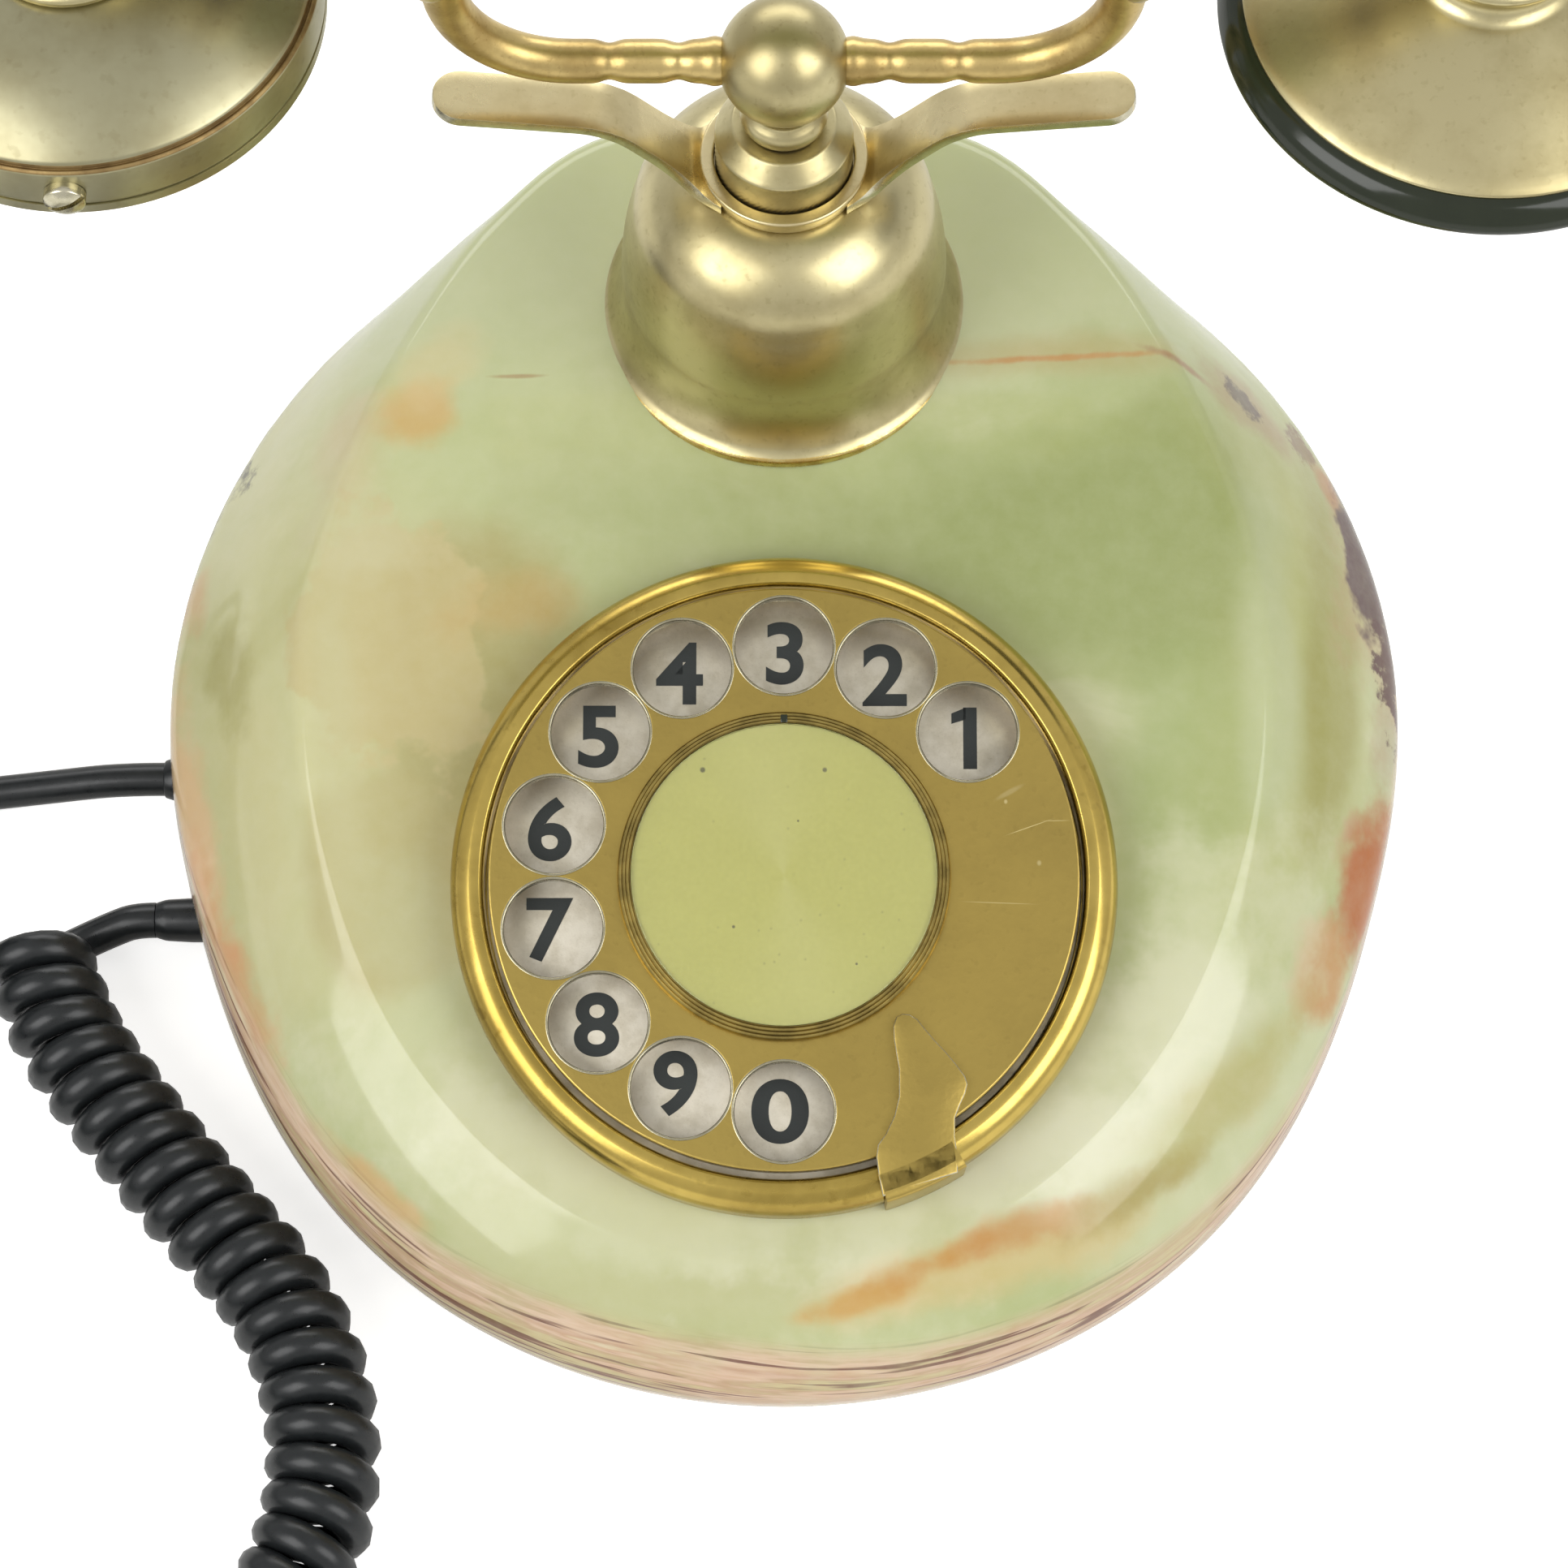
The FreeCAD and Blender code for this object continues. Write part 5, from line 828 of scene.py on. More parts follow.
def topZ(body, y):
    # The dial's slope runs through a wide bend into the level hill
    tilt, blend = radians(dialTiltDeg), body["hillBlend"]
    corner = dialY + (body["hillZ"] - dialZ) / tan(tilt)
    run = blend * tan(radians(dialTiltDeg / 2))
    if y > corner + run:
        return body["hillZ"]
    if y < corner - run * cos(tilt):
        return dialZ + tan(tilt) * (y - dialY)
    return body["hillZ"] - blend + sqrt(blend ** 2 - (y - corner - run) ** 2)


def ridgeAt(body, angle):
    rows = body["ridge"]
    k = max(j for j in range(len(rows) - 1) if rows[j][0] <= angle or j == 0)

    def slope(j):
        if j in (0, len(rows) - 1):
            return 0.0
        return (rows[j + 1][1] - rows[j - 1][1]) / (rows[j + 1][0] - rows[j - 1][0])
    (a, ra), (b, rb) = rows[k], rows[k + 1]
    span, t = b - a, (angle - a) / (b - a)
    return (ra + (rb - ra) * t * t * (3 - 2 * t) + slope(k) * span * t * (1 - t) ** 2
            - slope(k + 1) * span * t * t * (1 - t))


def smoothRun(points, steps=6):
    # A smooth line through the points
    line = []
    for k in range(len(points) - 1):
        a, b = Vector(points[k]), Vector(points[k + 1])
        before = Vector(points[k - 1]) if k else a * 2 - b
        after = Vector(points[k + 2]) if k + 2 < len(points) else b * 2 - a
        span = (b - a).length
        leave = (b - before) * (span / max(span + (a - before).length, 1e-6)) / 3
        arrive = (after - a) * (span / max((after - b).length + span, 1e-6)) / 3
        line += [tuple(p) for p in interpolate_bezier(a, a + leave, b - arrive, b, steps)][:-1]
    return line + [tuple(points[-1])]


def bodyColumn(body, angleDeg):
    # Radius and height from the foot to the middle of the top, for one direction
    angle = angleDeg if angleDeg <= 180 else 360 - angleDeg
    turn = cos(radians(angle))
    spread = 22.0 if angle < body["flatAtDeg"] else 30.0
    widest = (body["widest"] - body["flatDepth"] * exp(-((angle - body["flatAtDeg"]) / spread) ** 2)
              + body["rearSwell"] * exp(-((angle - body["swellAtDeg"]) / 20.0) ** 2))
    rear, front, flank = body["wallRear"], body["wallFront"], body["wallSide"]
    wallZ = flank + (rear - front) / 2 * turn + ((rear + front) / 2 - flank) * turn ** 2
    ridgeR = ridgeAt(body, angle)
    ridgeZ = topZ(body, ridgeR * turn)
    wallR = widest - 0.3
    run, rise = wallR - ridgeR, ridgeZ - wallZ
    length = hypot(run, rise)
    side = [(body["foot"], body["footZ"]), (widest - 2.6, body["footZ"] + 3.5), (widest, body["bulgeZ"]),
            (wallR, wallZ)]
    for t in (0.2, 0.6):
        swell = 4 * t * (1 - t) * body["shoulderSwell"]
        side.append((wallR - run * t + swell * rise / length, wallZ + rise * t + swell * run / length))
    side.append((ridgeR, ridgeZ))
    line = smoothRun(side)
    # The ridge is rounded between the shoulder and the top
    corner, below = Vector(line[-1]), Vector(line[-3])
    inner = ridgeR - 6.0
    inward = (Vector((inner, topZ(body, inner * turn))) - corner).normalized()
    up = (below - corner).normalized()
    cut = body["ridgeRound"] / max(tan(up.angle(inward) / 2), 0.2)
    while len(line) > 2 and (Vector(line[-1]) - corner).length < cut:
        line.pop()
    a, b = corner + up * cut, corner + inward * cut
    line += [tuple(p) for p in interpolate_bezier(a, a.lerp(corner, 0.6), b.lerp(corner, 0.6), b, 7)]
    return line, b.x


def resampled(line, count):
    # The same number of points in every column, evenly along it
    lengths = [0.0]
    for a, b in zip(line, line[1:]):
        lengths.append(lengths[-1] + hypot(b[0] - a[0], b[1] - a[1]))
    points, k = [], 0
    for j in range(count + 1):
        s = lengths[-1] * j / count
        while k < len(lengths) - 2 and lengths[k + 1] < s:
            k += 1
        t = (s - lengths[k]) / max(lengths[k + 1] - lengths[k], 1e-9)
        points.append(tuple(a + (b - a) * t for a, b in zip(line[k], line[k + 1])))
    return points


def makeStoneBody(body):
    columns, sideRings, topRings = body["columns"], body["sideRings"], body["topRings"]
    hollowR, hollowZ = body["hollow"]
    rows = []
    for k in range(columns):
        angleDeg = 360.0 * k / columns
        line, edge = bodyColumn(body, angleDeg)
        turn = cos(radians(angleDeg))
        inward = [edge * (1 - j / topRings) for j in range(1, topRings)]
        under = [(0.0, hollowZ), (hollowR, hollowZ), (hollowR, body["footZ"]),
                 (body["foot"] - 0.5, body["footZ"])]
        rows.append(under + resampled(line, sideRings) + [(r, topZ(body, r * turn)) for r in inward]
                    + [(0.0, topZ(body, 0))])
    # A straight stack of rings, spun and closed at both poles, then each ring is drawn to its outline
    last = len(rows[0]) - 1
    bm = turned([(0.0 if j in (0, last) else 1.0, j) for j in range(last + 1)], columns)
    for vert in bm.verts:
        k = round(degrees(atan2(vert.co.x, vert.co.y)) * columns / 360) % columns
        r, z = rows[k][round(vert.co.z)]
        angle = 2 * pi * k / columns
        vert.co = (r * sin(angle), r * cos(angle), z)
    finished("stoneBody", bm, onyx, "phone", ["body_shell"])


makeStoneBody(stoneBody)

felt = turned(runOf((0, 0), (75.5, 0, 0.5), (75.5, 1.5, 0.4), (74.4, 1.5), (0, 1.5)), 128)
finished("feltPad", felt, blackFelt, "phone", ["felt_pad"])

cordSleeve = {"outer": 3.05, "outerX": -86.4, "long": 14.9, "z": 4.6, "boreAtY": {8.6: 2.5, -13.0: 2.3}}
sleeves = bmesh.new()
for y, bore in cordSleeve["boreAtY"].items():
    outer, long = cordSleeve["outer"], cordSleeve["long"]
    ring = ringOf((bore - 0.5, 0), (bore + 0.1, 0, 0.2), (bore + 0.55, 1.4, 0.4), (outer, 5.0),
                  (outer, long), (bore - 0.5, long), steps=40)
    joined(sleeves, moved(ring, at(cordSleeve["outerX"], y, cordSleeve["z"]) @ turn(90, "Y")))
finished("cordSleeves", sleeves, cordBlack, "phone", ["cord_grommets"])
print("stone body made")


# Dial

bezelSizes = {"r": 42.9, "inR": 38.5, "h": 7.8, "flangeInR": 33.0, "flangeZ": 2.2}


def makeBezel(r, inR, h, flangeInR, flangeZ):
    crest = (r + inR) / 2 - 0.4
    bezel = ringOf((flangeInR, 0.02), (r - 0.2, 0.02, 0.2), (r, 0.5), (r, h * 0.46),
                   ((r - 0.75, h * 0.85), (crest, h)), (inR + 0.5, h, 0.3), (inR, h - 0.6, 0.3),
                   (inR, flangeZ), (flangeInR, flangeZ), steps=192, arcs=14)
    finished("dialBezel", bezel, brightBrass, "phone", ["dial_bezel"], onDial)
    plateR = inR - 0.1
    plate = ringOf((8.0, flangeZ), (plateR, flangeZ), (plateR, flangeZ + 0.8, 0.15), (8.0, flangeZ + 0.8),
                   steps=128)
    finished("numberPlate", plate, silverPlate, "phone", ["number_plate"], onDial)


makeBezel(**bezelSizes)

dialNumbers = {
    "size": 10.6, "weight": 0.26, "widen": 1.13, "heighten": 1.05, "noughtWiden": 1.42,
    "deep": 0.03, "z": 3.04, "flag": [(0.3, 0.0), (-1.35, -0.75), (-1.35, -2.05), (0.3, -1.5)],
    "places": {
        "1": (23.4, 19.3), "2": (13.1, 27.7), "3": (0.1, 30.6), "4": (-13.6, 27.9), "5": (-24.1, 19.5),
        "6": (-30.3, 7.3), "7": (-30.2, -5.9), "8": (-24.05, -18.2), "9": (-13.9, -25.8),
        "0": (-0.5, -29.4)},
}


def makeNumbers(values):
    whole = bmesh.new()
    for sign, (x, y) in values["places"].items():
        data = bpy.data.curves.new("number", "FONT")
        data.body = "6" if sign == "9" else sign
        data.size = values["size"]
        data.offset = values["weight"]
        data.extrude = values["deep"]
        data.align_x, data.align_y = "CENTER", "CENTER"
        bm = shapeFrom(newObject("number", data))
        if sign == "9":
            moved(bm, turn(180, "Z"))
        if sign == "1":
            left, top = min(v.co.x for v in bm.verts), max(v.co.y for v in bm.verts)
            joined(bm, flatShape([[(left + u, top + w) for u, w in values["flag"]]],
                                 2 * values["deep"], 0.0))
        widen = values["noughtWiden"] if sign == "0" else values["widen"]
        moved(bm, Matrix.Diagonal((widen, values["heighten"], 1.0, 1.0)))
        box = [(min(v.co[i] for v in bm.verts) + max(v.co[i] for v in bm.verts)) / 2 for i in (0, 1)]
        joined(whole, moved(bm, at(x - box[0], y - box[1], values["z"])))
    finished("dialNumbers", whole, numberInk, "phone", [], onDial)


makeNumbers(dialNumbers)

fingerWheel = {"r": 37.8, "low": 8.3, "high": 9.5, "rimDrop": 2.6, "ringR": 30.2, "holeR": 6.3}
# Ten of fourteen places round the wheel, the third at the top
holeAngles = [radians(90.0 + (k - 2) * (360 / 14)) for k in range(10)]


def makeFingerWheel(r, low, high, rimDrop, ringR, holeR):
    holes = [(ringR * cos(a), ringR * sin(a)) for a in holeAngles]
    outlines = [circlePoints(r, 192)] + [circlePoints(holeR + 0.2, 56, p) for p in holes]
    disc = edged(flatShape(outlines, high - low, 0.25), lambda face: abs(face.normal.z) < 0.7)
    moved(disc, at(0, 0, (high + low) / 2))
    foot = high - rimDrop
    skirt = ringOf((r - 1.2, foot), (r - 0.02, foot, 0.2), (r - 0.02, high - 0.3), (r - 1.2, high - 0.3),
                   steps=192)
    edged(skirt, lambda face: abs(face.normal.z) < 0.7)
    finished("fingerWheel", joined(disc, skirt), wheelBrass, "dial", ["finger_wheel"],
             onDial, sharpDeg=12, edging=wornEdge)
    rims = bmesh.new()
    for x, y in holes:
        rim = ringOf((holeR, low - 0.05), (holeR + 0.05, high - 0.3),
                     ((holeR + 0.12, high + 0.02), (holeR + 0.38, high + 0.03)), (holeR + 0.38, low - 0.05),
                     steps=56)
        joined(rims, moved(rim, at(x, y, 0)))
    finished("fingerHoleRims", rims, rimSilver, "dial", [], onDial)


makeFingerWheel(**fingerWheel)

hubRing = {"r": 21.3, "inR": 19.6, "low": 9.5, "high": 11.6, "grooves": 3}


def makeHubRing(r, inR, low, high, grooves):
    corners = [(inR - 2.2, low + 0.02), (r, low + 0.02), (r, high - 1.35, 0.1)]
    for k in range(grooves):
        outer, inner = r - (r - inR) * (0.10 + 0.28 * k), r - (r - inR) * (0.32 + 0.28 * k)
        z = high - 0.95 + 0.3 * k
        corners += [(outer, z, 0.06), (outer - 0.03, z - 0.3, 0.05), (inner, z - 0.3, 0.05),
                    (inner - 0.03, z + 0.05, 0.06)]
    seat = high - 1.2
    ring = ringOf(*corners, (inR, high, 0.12), (inR - 0.02, seat), (inR - 2.2, seat), steps=160)
    finished("hubRing", ring, hubBrass, "dial", ["wheel_hub_ring"], onDial)
    notch = bmesh.new()
    bmesh.ops.create_cube(notch, size=1.0,
                          matrix=at(0, inR + 0.55, high - 0.2) @ Matrix.Diagonal((0.9, 1.1, 0.3, 1)))
    rounded(notch, notch.edges[:], 0.12, 2)
    finished("hubRingNotch", notch, blackGloss, "dial", [], onDial)
    card = turned(runOf((0, seat), (inR - 0.15, seat), (inR - 0.15, high - 0.92, 0.05), (0, high - 0.92)))
    finished("centreCard", card, cardGreen, "dial", ["centre_card"], onDial)
    cover = turned(runOf((0, high - 0.88), (inR - 0.08, high - 0.88), (inR - 0.08, high - 0.12, 0.15),
                         (0, high - 0.05)))
    finished("cardCover", cover, clearDisc, "dial", ["card_cover"], onDial)


makeHubRing(**hubRing)

fingerStop = {
    "low": 10.2, "high": 11.1, "middleDeg": -65.5, "lipDeg": 14.4, "lipR": (40.2, 43.8),
    "tongue": [(15.0, -17.9), (15.9, -18.0), (16.9, -18.6), (17.6, -19.5), (19.0, -21.2), (20.5, -22.8),
               (21.9, -24.5), (22.9, -25.9), (23.2, -26.9), (22.9, -28.1), (22.2, -29.6), (21.6, -31.2),
               (21.55, -33.5), (21.9, -36.2), (21.9, -38.1), (12.4, -41.1), (11.9, -38.5), (11.6, -36.1),
               (11.8, -34.6), (12.8, -33.2), (13.9, -30.9), (14.5, -28.5), (14.5, -25.0), (13.9, -21.4),
               (13.8, -19.5), (14.2, -18.3)],
}


def makeFingerStop(low, high, middleDeg, lipDeg, lipR, tongue):
    plate = edged(flatShape([tongue], high - low, 0.3), lambda face: abs(face.normal.z) < 0.8)
    moved(plate, at(0, 0, (low + high) / 2))
    # The lip runs on over the bezel and folds down outside it
    inner, outer = lipR
    line = runOf((inner, low), (outer - 0.85, low, 0.3), (outer - 0.75, 0.1), (outer, 0.1, 0.2),
                 (outer, high - 0.3, 0.8), (outer - 0.9, high, 0.4), (inner, high))
    lip = bmesh.new()
    first = radians(middleDeg - lipDeg / 2)
    face = lip.faces.new([lip.verts.new((r * cos(first), r * sin(first), z)) for r, z in line])
    bmesh.ops.spin(lip, geom=[face], cent=(0, 0, 0), axis=(0, 0, 1), angle=radians(lipDeg), steps=10,
                   use_merge=False)
    bmesh.ops.remove_doubles(lip, verts=lip.verts, dist=1e-4)
    bmesh.ops.recalc_face_normals(lip, faces=lip.faces)
    finished("fingerStop", joined(plate, lip), wheelBrass, "phone", ["finger_stop"], onDial,
             sharpDeg=20, edging=wornEdge)


makeFingerStop(**fingerStop)
print("dial made")


# Bell neck, wing plate and collar

bellNeck = {"low": 54.8, "r": 24.8, "midR": 20.9, "topR": 9.6, "h": 33.6, "wall": 1.5, "tubeR": 6.25}


def makeBell(low, r, midR, topR, h, wall, tubeR):
    z, top, w = low, low + h, wall
    bell = ringOf((r - 1.4, z), (r, z, 0.25), (r, z + 1.3, 0.5), (r - 0.9, z + 1.75),
                  ((r - 3.0, z + 6.0), (midR + 0.5, z + 11.5)), ((midR, z + 18.0), (midR - 1.1, z + 23.5)),
                  ((midR - 4.6, z + 30.4), (topR, top)), (tubeR, top), (tubeR, top - w),
                  (topR - 0.6, top - w),
                  ((midR - 4.6 - w * 0.7, z + 30.4 - w * 0.8), (midR - 1.1 - w, z + 23.2)),
                  ((midR - w, z + 17.8), (midR + 0.4 - w, z + 11.3)), steps=160, arcs=12)
    edged(bell, lambda face: face.calc_center_median().z < z + 1.6)
    finished("bellNeck", bell, satinBrass, "phone", ["neck_bell"], atNeck, edging=goldRim)


makeBell(**bellNeck)

wings = {"low": 88.4, "thick": 1.5, "wide": 7.2, "ringR": 10.1, "inX": 10.5, "bendX": 22.0, "rise": 12.6,
         "tipX": 44.0, "tipRise": 15.2, "boreR": 6.05, "flare": 3.4, "dish": 3.1}
collarR = 8.8


def makeWings(low, thick, wide, ringR, inX, bendX, rise, tipX, tipRise, boreR, flare, dish):
    # The ring is dished round the foot of the collar
    rim, seat, wellR = low + dish, low + thick - 0.1, collarR + 0.15
    ring = ringOf((boreR, low), (ringR, low, 0.8), (ringR + 0.7, rim, 0.4), (wellR, rim, 0.3),
                  (wellR, seat), (boreR, seat))
    # Middle line of the strip, from the ring out along a wing, with soft bends
    line = runOf((8.0, 0), (inX + 0.5, 0, 3.2), (bendX + 0.2, rise, 3.6), (tipX - 0.4, tipRise))
    half = wide / 2
    fine = [p for p in resampled(line, 44) if p[0] < tipX - half]
    lean = (tipRise - rise) / (tipX - 0.6 - bendX)
    for k in range(13):
        x = tipX - half + half * sin(radians(7.4 * k))
        fine.append((x, tipRise + (x - tipX + 0.4) * lean))
    strip = bmesh.new()
    rows = []
    for x, z in fine:
        # Round at the tip, flared at the root
        end = max(0.0, x - (tipX - half))
        reach = sqrt(max(half ** 2 - end ** 2, 0.02)) if end else half
        reach += max(0.0, 1 - (x - 8.0) / 9.0) ** 2 * flare
        rows.append([strip.verts.new((x, side * reach, low + z)) for side in (-1, -0.5, 0, 0.5, 1)])
    for a, b in zip(rows, rows[1:]):
        for k in range(4):
            strip.faces.new((a[k], b[k], b[k + 1], a[k + 1]))
    bmesh.ops.recalc_face_normals(strip, faces=strip.faces)
    if sum(f.normal.z for f in strip.faces) < 0:
        bmesh.ops.reverse_faces(strip, faces=strip.faces)
    bmesh.ops.solidify(strip, geom=strip.faces[:], thickness=-thick)
    rounded(strip, [e for e in strip.edges
                    if len(e.link_faces) == 2 and e.calc_face_angle(0) > radians(60)], 0.4, 3)
    edged(strip, lambda face: abs(face.normal.y) > 0.5 or face.calc_center_median().x > tipX - 0.35)
    other = moved(strip.copy(), turn(180, "Z"))
    finished("wingPlate", joined(ring, strip, other), wingBrass, "phone", ["wing_plate"],
             atNeck, edging=wornEdge)


makeWings(**wings)

collar = {"low": 89.9, "h": 7.2, "bevel": 1.9, "rodR": 3.55, "tubeR": 6.05, "knurls": 12, "columns": 144,
          "knurlDeep": 0.14}


def makeCollar(low, h, bevel, rodR, tubeR, knurls, columns, knurlDeep):
    r, top = collarR, low + h
    first, last = low + 0.9, top - 1.1
    rows = [(r, first + (last - first) * k / knurls) for k in range(knurls + 1)]
    ring = ringOf((tubeR, low), (r - 0.3, low, 0.2), (r, low + 0.5, 0.2), *rows, (r, top - 0.6, 0.3),
                  (r - 0.55, top, 0.2), (r - 2.2, top + bevel, 0.3), (rodR, top + bevel, 0.1), (rodR, top),
                  (tubeR, top), steps=columns)
    for vert in ring.verts:
        row = (vert.co.z - first) / (last - first) * knurls
        column = round(atan2(vert.co.y, vert.co.x) * columns / (2 * pi))
        if vert.co.xy.length > r - 0.05 and -0.01 < row < knurls + 0.01 and (round(row) + column) % 2:
            vert.co.xy *= 1 - knurlDeep / r
    finished("knurledCollar", ring, satinBrass, "phone", ["knurled_collar"], atNeck)


makeCollar(**collar)
print("neck made")


# Cradle: ball with its bead, bent arms and the yokes that hold the handle

cradle = {"ballZ": 112.0, "ballR": 8.2, "beadR": 5.6, "beadLow": 99.4, "beadH": 3.6, "rodR": 3.5}
cradleArm = {"r": 2.75, "x": 41.0, "bend": 15.0, "crimps": (13.0, 21.5), "crimpDeep": 0.3,
             "crimpWide": 1.25}
cradleYoke = {"r": 2.3, "bend": 14.57, "tip": 7.0, "knobR": 3.0}


def makeCradleHub(ballZ, ballR, beadR, beadLow, beadH, rodR):
    base = ballZ - ballR
    neck = turned(runOf((0, beadLow), (beadR - 0.9, beadLow),
                        ((beadR, beadLow + beadH / 2), (beadR - 0.9, beadLow + beadH)),
                        (rodR + 0.9, base - 0.2, 0.5), (rodR + 1.6, base + 0.9), (0, base + 1.2)))
    hub = joined(neck, ball(ballR, 96, 48, (0, 0, ballZ)))
    finished("cradleHub", hub, satinBrass, "cradle", ["cradle_hub"], atNeck)


def makeCradleArms(r, x, bend, crimps, crimpDeep, crimpWide):
    z, ballR = cradle["ballZ"], cradle["ballR"]
    arms = bmesh.new()
    for side in (1, -1):
        line, radii = [], []
        along = ballR - 1.6
        while along < x - bend:
            squeeze = max(exp(-((along - k) / crimpWide) ** 2) for k in crimps)
            collarShare = exp(-((along - ballR - 0.3) / 1.1) ** 2)
            line.append((side * along, 0, z))
            radii.append(1.0 - squeeze * crimpDeep * 1.6 / r + 0.12 * collarShare)
            along += 0.35
        for k in range(19):
            a = radians(90 * k / 18)
            line.append((side * (x - bend + bend * sin(a)), 0, z + bend * (1 - cos(a))))
        # The arm ends inside its yoke
        top = handleZ - cradleYoke["bend"] - cradleYoke["r"] + 1.6
        line += [(side * x, 0, z + bend + (top - z - bend) * k / 4) for k in range(1, 5)]
        joined(arms, tube(line, r, 8, radii + [1.0] * 23))
    finished("cradleArms", arms, armBrass, "cradle", ["cradle_arms"], atNeck)


def makeCradleYokes(r, bend, tip, knobR):
    yokes = bmesh.new()
    for x in (cradleArm["x"], -cradleArm["x"]):
        half = [(x, -bend * cos(radians(a)), handleZ - bend * sin(radians(a))) for a in range(0, 181, 9)]
        joined(yokes, tube([(x, -bend, handleZ + tip), (x, -bend, handleZ + tip / 2)] + half
                           + [(x, bend, handleZ + tip / 2), (x, bend, handleZ + tip)], r, 7))
        for y in (-bend, bend):
            joined(yokes, ball(knobR, 40, 24, (x, y, handleZ + tip)))
    finished("cradleYokes", yokes, armBrass, "cradle", ["cradle_yokes"], atNeck)


makeCradleHub(**cradle)
makeCradleArms(**cradleArm)
makeCradleYokes(**cradleYoke)
print("cradle made")


# Handset

handle = {"midR": 13.4, "endR": 10.4, "half": 56.0, "ferruleWide": 5.0, "ferruleR": 11.1}
alongHandle = at(0, neckY, handleZ) @ turn(90, "Y")


def makeHandle(midR, endR, half, ferruleWide, ferruleR):
    line = [(0, -half), (endR - 0.6, -half), (endR, -half + 0.4)]
    for k in range(1, 40):
        x = -half + 0.4 + (2 * half - 0.8) * k / 40
        line.append((midR - (midR - endR) * (x / half) ** 2, x))
    line += [(endR, half - 0.4), (endR - 0.6, half), (0, half)]
    finished("stoneHandle", turned(line, 112), handleOnyx, "handset", ["handset_handle"],
             alongHandle)
    ferrules = bmesh.new()
    x, r, w = half, ferruleR, ferruleWide
    for turnDeg in (0, 180):
        ring = turned(runOf((0, x), (r - 0.1, x, 0.25), (r, x + 1.6, 0.25), (r - 0.5, x + 1.9, 0.1),
                            (r - 0.5, x + 2.6, 0.1), (r, x + 2.9, 0.25), (r, x + w - 0.4, 0.3),
                            (r - 0.5, x + w, 0.2), (0, x + w)))
        joined(ferrules, moved(ring, turn(turnDeg, "X")))
    finished("handleFerrules", ferrules, satinBrass, "handset", ["handle_ferrules"],
             alongHandle)


makeHandle(**handle)
finished("handsetElbows", mergedCopy("handset_elbows"), satinBrass, "handset", ["handset_elbows"])

mouthCup = {"r": 29.2, "low": 124.4, "bandH": 6.6, "top": 138.0, "neckR": 9.2, "skin": 1.5}
bayonetScrew = {"up": 2.6, "turnDeg": 24, "slot": 0.7}


def makeMouthCup(r, low, bandH, top, neckR, skin):
    band, w = low + bandH, skin
    cup = ringOf((r - w, low), (r - 0.2, low, 0.15), (r, low + 0.6, 0.1), (r, band - 0.3, 0.3),
                 (r - 0.45, band, 0.1), (r - 0.8, band - 0.25, 0.08), (r - 1.1, band + 0.55, 0.3),
                 ((21.0, top - 2.7), (neckR + 0.4, top)), (neckR - w, top), (neckR - w, top - w),
                 ((20.2, top - 2.7 - w), (r - w - 1.2, band - 0.3)), (r - w, band - 0.6), steps=192,
                 arcs=16)
    edged(cup, lambda face: abs(face.calc_center_median().z - band) < 0.32)
    finished("mouthpieceCup", cup, cupNickel, "handset", ["mouthpiece_cup"],
             at(-cupX, neckY, 0), edging=seamPatina)


def makeScrew(up, turnDeg, slot):
    # A round head in two halves, the slot between them
    head = turned(runOf((0, 0.9), (2.5, 0.9), (2.5, 0.0), (0, 0)), 48)
    for side in (1, -1):
        half = turned(runOf((0, 2.05), (1.2, 2.0, 0.6), (2.5, 1.3, 0.6), (2.5, 0.85), (0, 0.85)), 48)
        cut = bmesh.ops.bisect_plane(half, geom=half.verts[:] + half.edges[:] + half.faces[:], dist=1e-4,
                                     plane_co=(0, side * slot / 2, 0), plane_no=(0, -side, 0),
                                     clear_outer=True)
        bmesh.ops.holes_fill(half, edges=[e for e in cut["geom_cut"] if isinstance(e, bmesh.types.BMEdge)])
        joined(head, half)
    moved(head, at(0, -mouthCup["r"], mouthCup["low"] + up) @ turn(90, "X") @ turn(turnDeg, "Z"))
    finished("bayonetScrew", head, wornEdge, "handset", ["bayonet_screw"],
             at(-cupX, neckY, 0), sharpDeg=24)


makeMouthCup(**mouthCup)
makeScrew(**bayonetScrew)

earCup = {"r": 29.4, "low": 126.0, "topR": 10.6, "topZ": 134.2, "neckR": 9.2, "neckTop": 138.0, "skin": 1.5}


def makeEarCup(r, low, topR, topZ, neckR, neckTop, skin):
    w = skin
    cup = ringOf((r - w, low), (r, low, 0.2), (r, low + 0.5, 0.2), (r - 0.9, low + 1.1),
                 ((20.2, low + 4.6), (topR + 0.5, topZ - 0.5)),
                 ((neckR + 0.35, topZ + 0.6), (neckR, topZ + 2.0)),
                 (neckR, neckTop), (neckR - w, neckTop), (neckR - w, topZ),
                 ((19.6, low + 4.4 - w), (r - w - 1.6, low + 0.6)), (r - w, low + 0.3), steps=192, arcs=16)
    finished("receiverCup", cup, satinBrass, "handset", ["receiver_cup"], at(cupX, neckY, 0))


makeEarCup(**earCup)
finished("earCap", mergedCopy("ear_cap"), blackGloss, "handset", ["ear_cap"])
print("handset made")


# Cord finishes, the rising and hanging curls baked where they lie, and the frame's finishes

def wearing(made, finish):
    made.data.materials.clear()
    made.data.materials.append(finish)


wearing(lineCordPiece, cordBlack)
for piece, path in curlPieces:
    wearing(piece, cordBlack)
    piece.data.shade_smooth()
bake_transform(risingCurls)
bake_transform(hangingCurls)

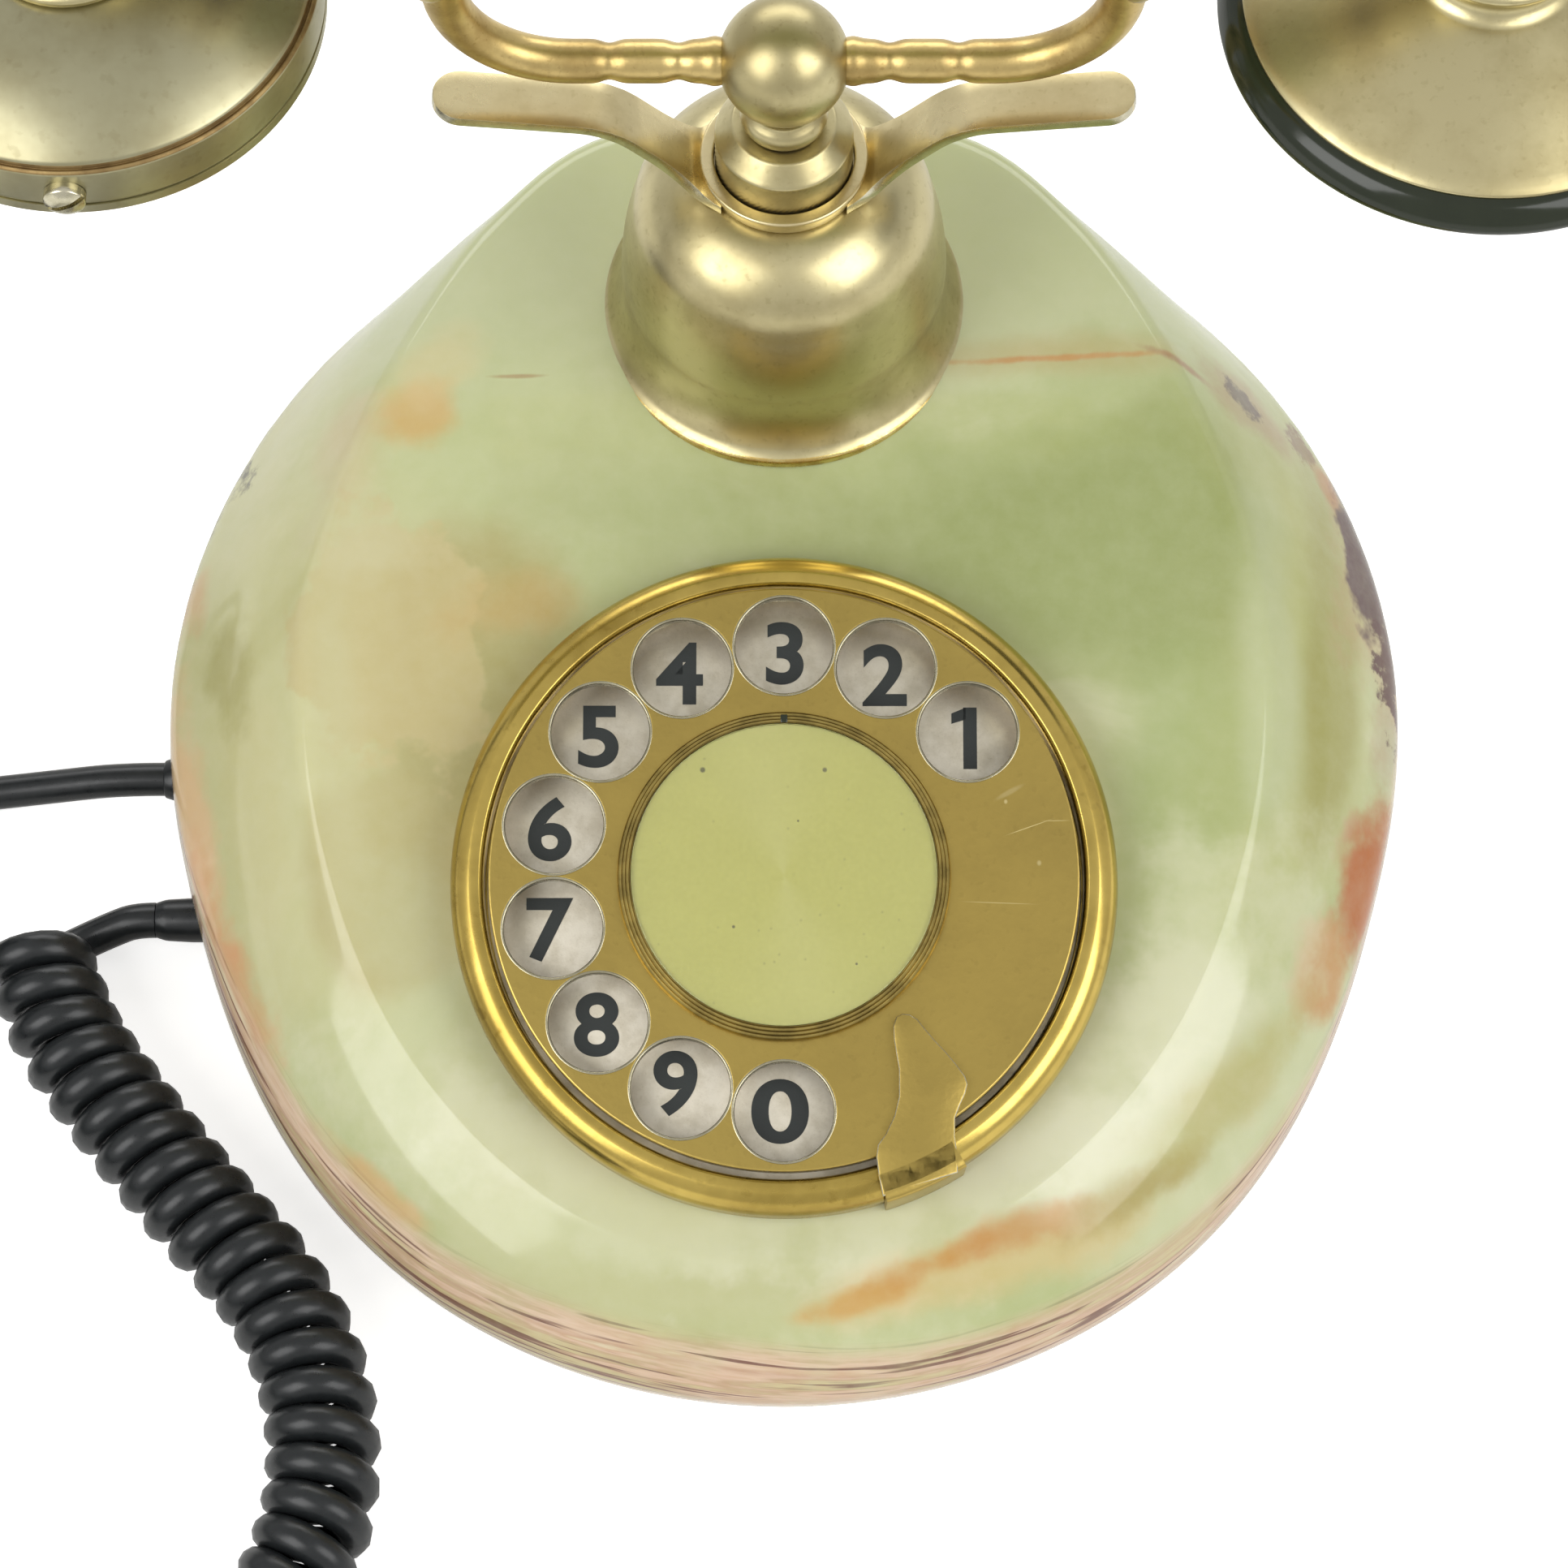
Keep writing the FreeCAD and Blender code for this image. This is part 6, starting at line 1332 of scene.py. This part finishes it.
nodeFinishes = [
    (steelParts, "base_plate base_screws plunger_rod plunger_spring hook_bracket microphone_capsule"),
    (steelParts, "receiver_capsule ringer_frame gong_posts ringer_clapper dial_frame dial_screws"),
    (steelParts, "main_shaft wheel_screw return_spring governor_cup dial_bridge"),
    (brightBrass, "ringer_gongs plug_contacts main_gear second_gear governor_rotor"),
    (board, "hook_contacts terminal_board pulse_cam pulse_contacts"),
    (satinBrass, "neck_tube neck_nut"),
    (magnetCoil, "ringer_coils speech_coil"),
    (cupNickel, "mouthpiece_cap"),
    (cordBlack, "handset_gland"),
    (plugClear, "line_plug"),
]
for finish, names in nodeFinishes:
    for name in names.split():
        wearing(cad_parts[name], finish)
print("frame pieces finished")


# Floor and light

floorLook = {"size": 6.0, "z": -0.0001, "tint": (236, 236, 234), "glow": 0.62, "glowReflected": 0.12}


def addFloor(values):
    bm = bmesh.new()
    bmesh.ops.create_grid(bm, x_segments=1, y_segments=1, size=values["size"] / 2,
                          matrix=at(0, 0, values["z"]))
    mesh = bpy.data.meshes.new("floor")
    bm.to_mesh(mesh)
    bm.free()
    newObject("floor", mesh)
    material = bpy.data.materials.new("paleFloor")
    material.use_nodes = True
    tree = material.node_tree
    tree.nodes.clear()
    rays = add(tree, "LightPath").outputs
    mirrored = math(tree, "MAXIMUM", rays["Is Glossy Ray"], rays["Is Transmission Ray"])
    seen = math(tree, "ADD", math(tree, "MULTIPLY", rays["Is Camera Ray"], values["glow"]),
                math(tree, "MULTIPLY", mirrored, values["glowReflected"]))
    lit = add(tree, "BsdfDiffuse", {"Color": colour(*values["tint"])})
    glow = add(tree, "Emission", {"Color": (1, 1, 1, 1), "Strength": seen})
    both = add(tree, "AddShader", {0: lit.outputs[0], 1: glow.outputs[0]})
    add(tree, "OutputMaterial", {"Surface": both.outputs[0]})
    mesh.materials.append(material)


addFloor(floorLook)

lights = {
    "left": {"place": (-0.75, -0.55, 0.85), "size": (0.75, 0.9), "power": 8.5},
    "right": {"place": (0.80, -0.50, 0.85), "size": (0.75, 0.9), "power": 7.5},
    "back": {"place": (0.0, 1.15, 0.7), "size": (1.4, 0.5), "power": 6.0},
}
lightTarget = Vector((0.0, 0.0, 0.06))
for name, values in lights.items():
    data = bpy.data.lights.new(name + "Softbox", "AREA")
    data.shape = "RECTANGLE"
    data.size, data.size_y = values["size"]
    data.energy = values["power"]
    light = newObject(name + "Softbox", data)
    light.location = values["place"]
    light.rotation_euler = (lightTarget - Vector(values["place"])).to_track_quat("-Z", "Y").to_euler()

# White to the camera, dimmer as light, and between the two in what the metal mirrors
worldLook = {"light": 0.52, "seen": 1.0, "mirrorShare": 0.4}
world = bpy.data.worlds.new("studio")
scene.world = world
world.use_nodes = True
tree = world.node_tree
rays = add(tree, "LightPath").outputs
share = math(tree, "MAXIMUM", rays["Is Camera Ray"],
             math(tree, "MULTIPLY", rays["Is Glossy Ray"], worldLook["mirrorShare"]))
light, seen = ((worldLook[name],) * 3 + (1.0,) for name in ("light", "seen"))
tree.links.new(mixColour(tree, share, light, seen), tree.nodes["Background"].inputs["Color"])
tree.nodes["Background"].inputs["Strength"].default_value = 1.0
print("floor and light made")

bpy.context.view_layer.update()
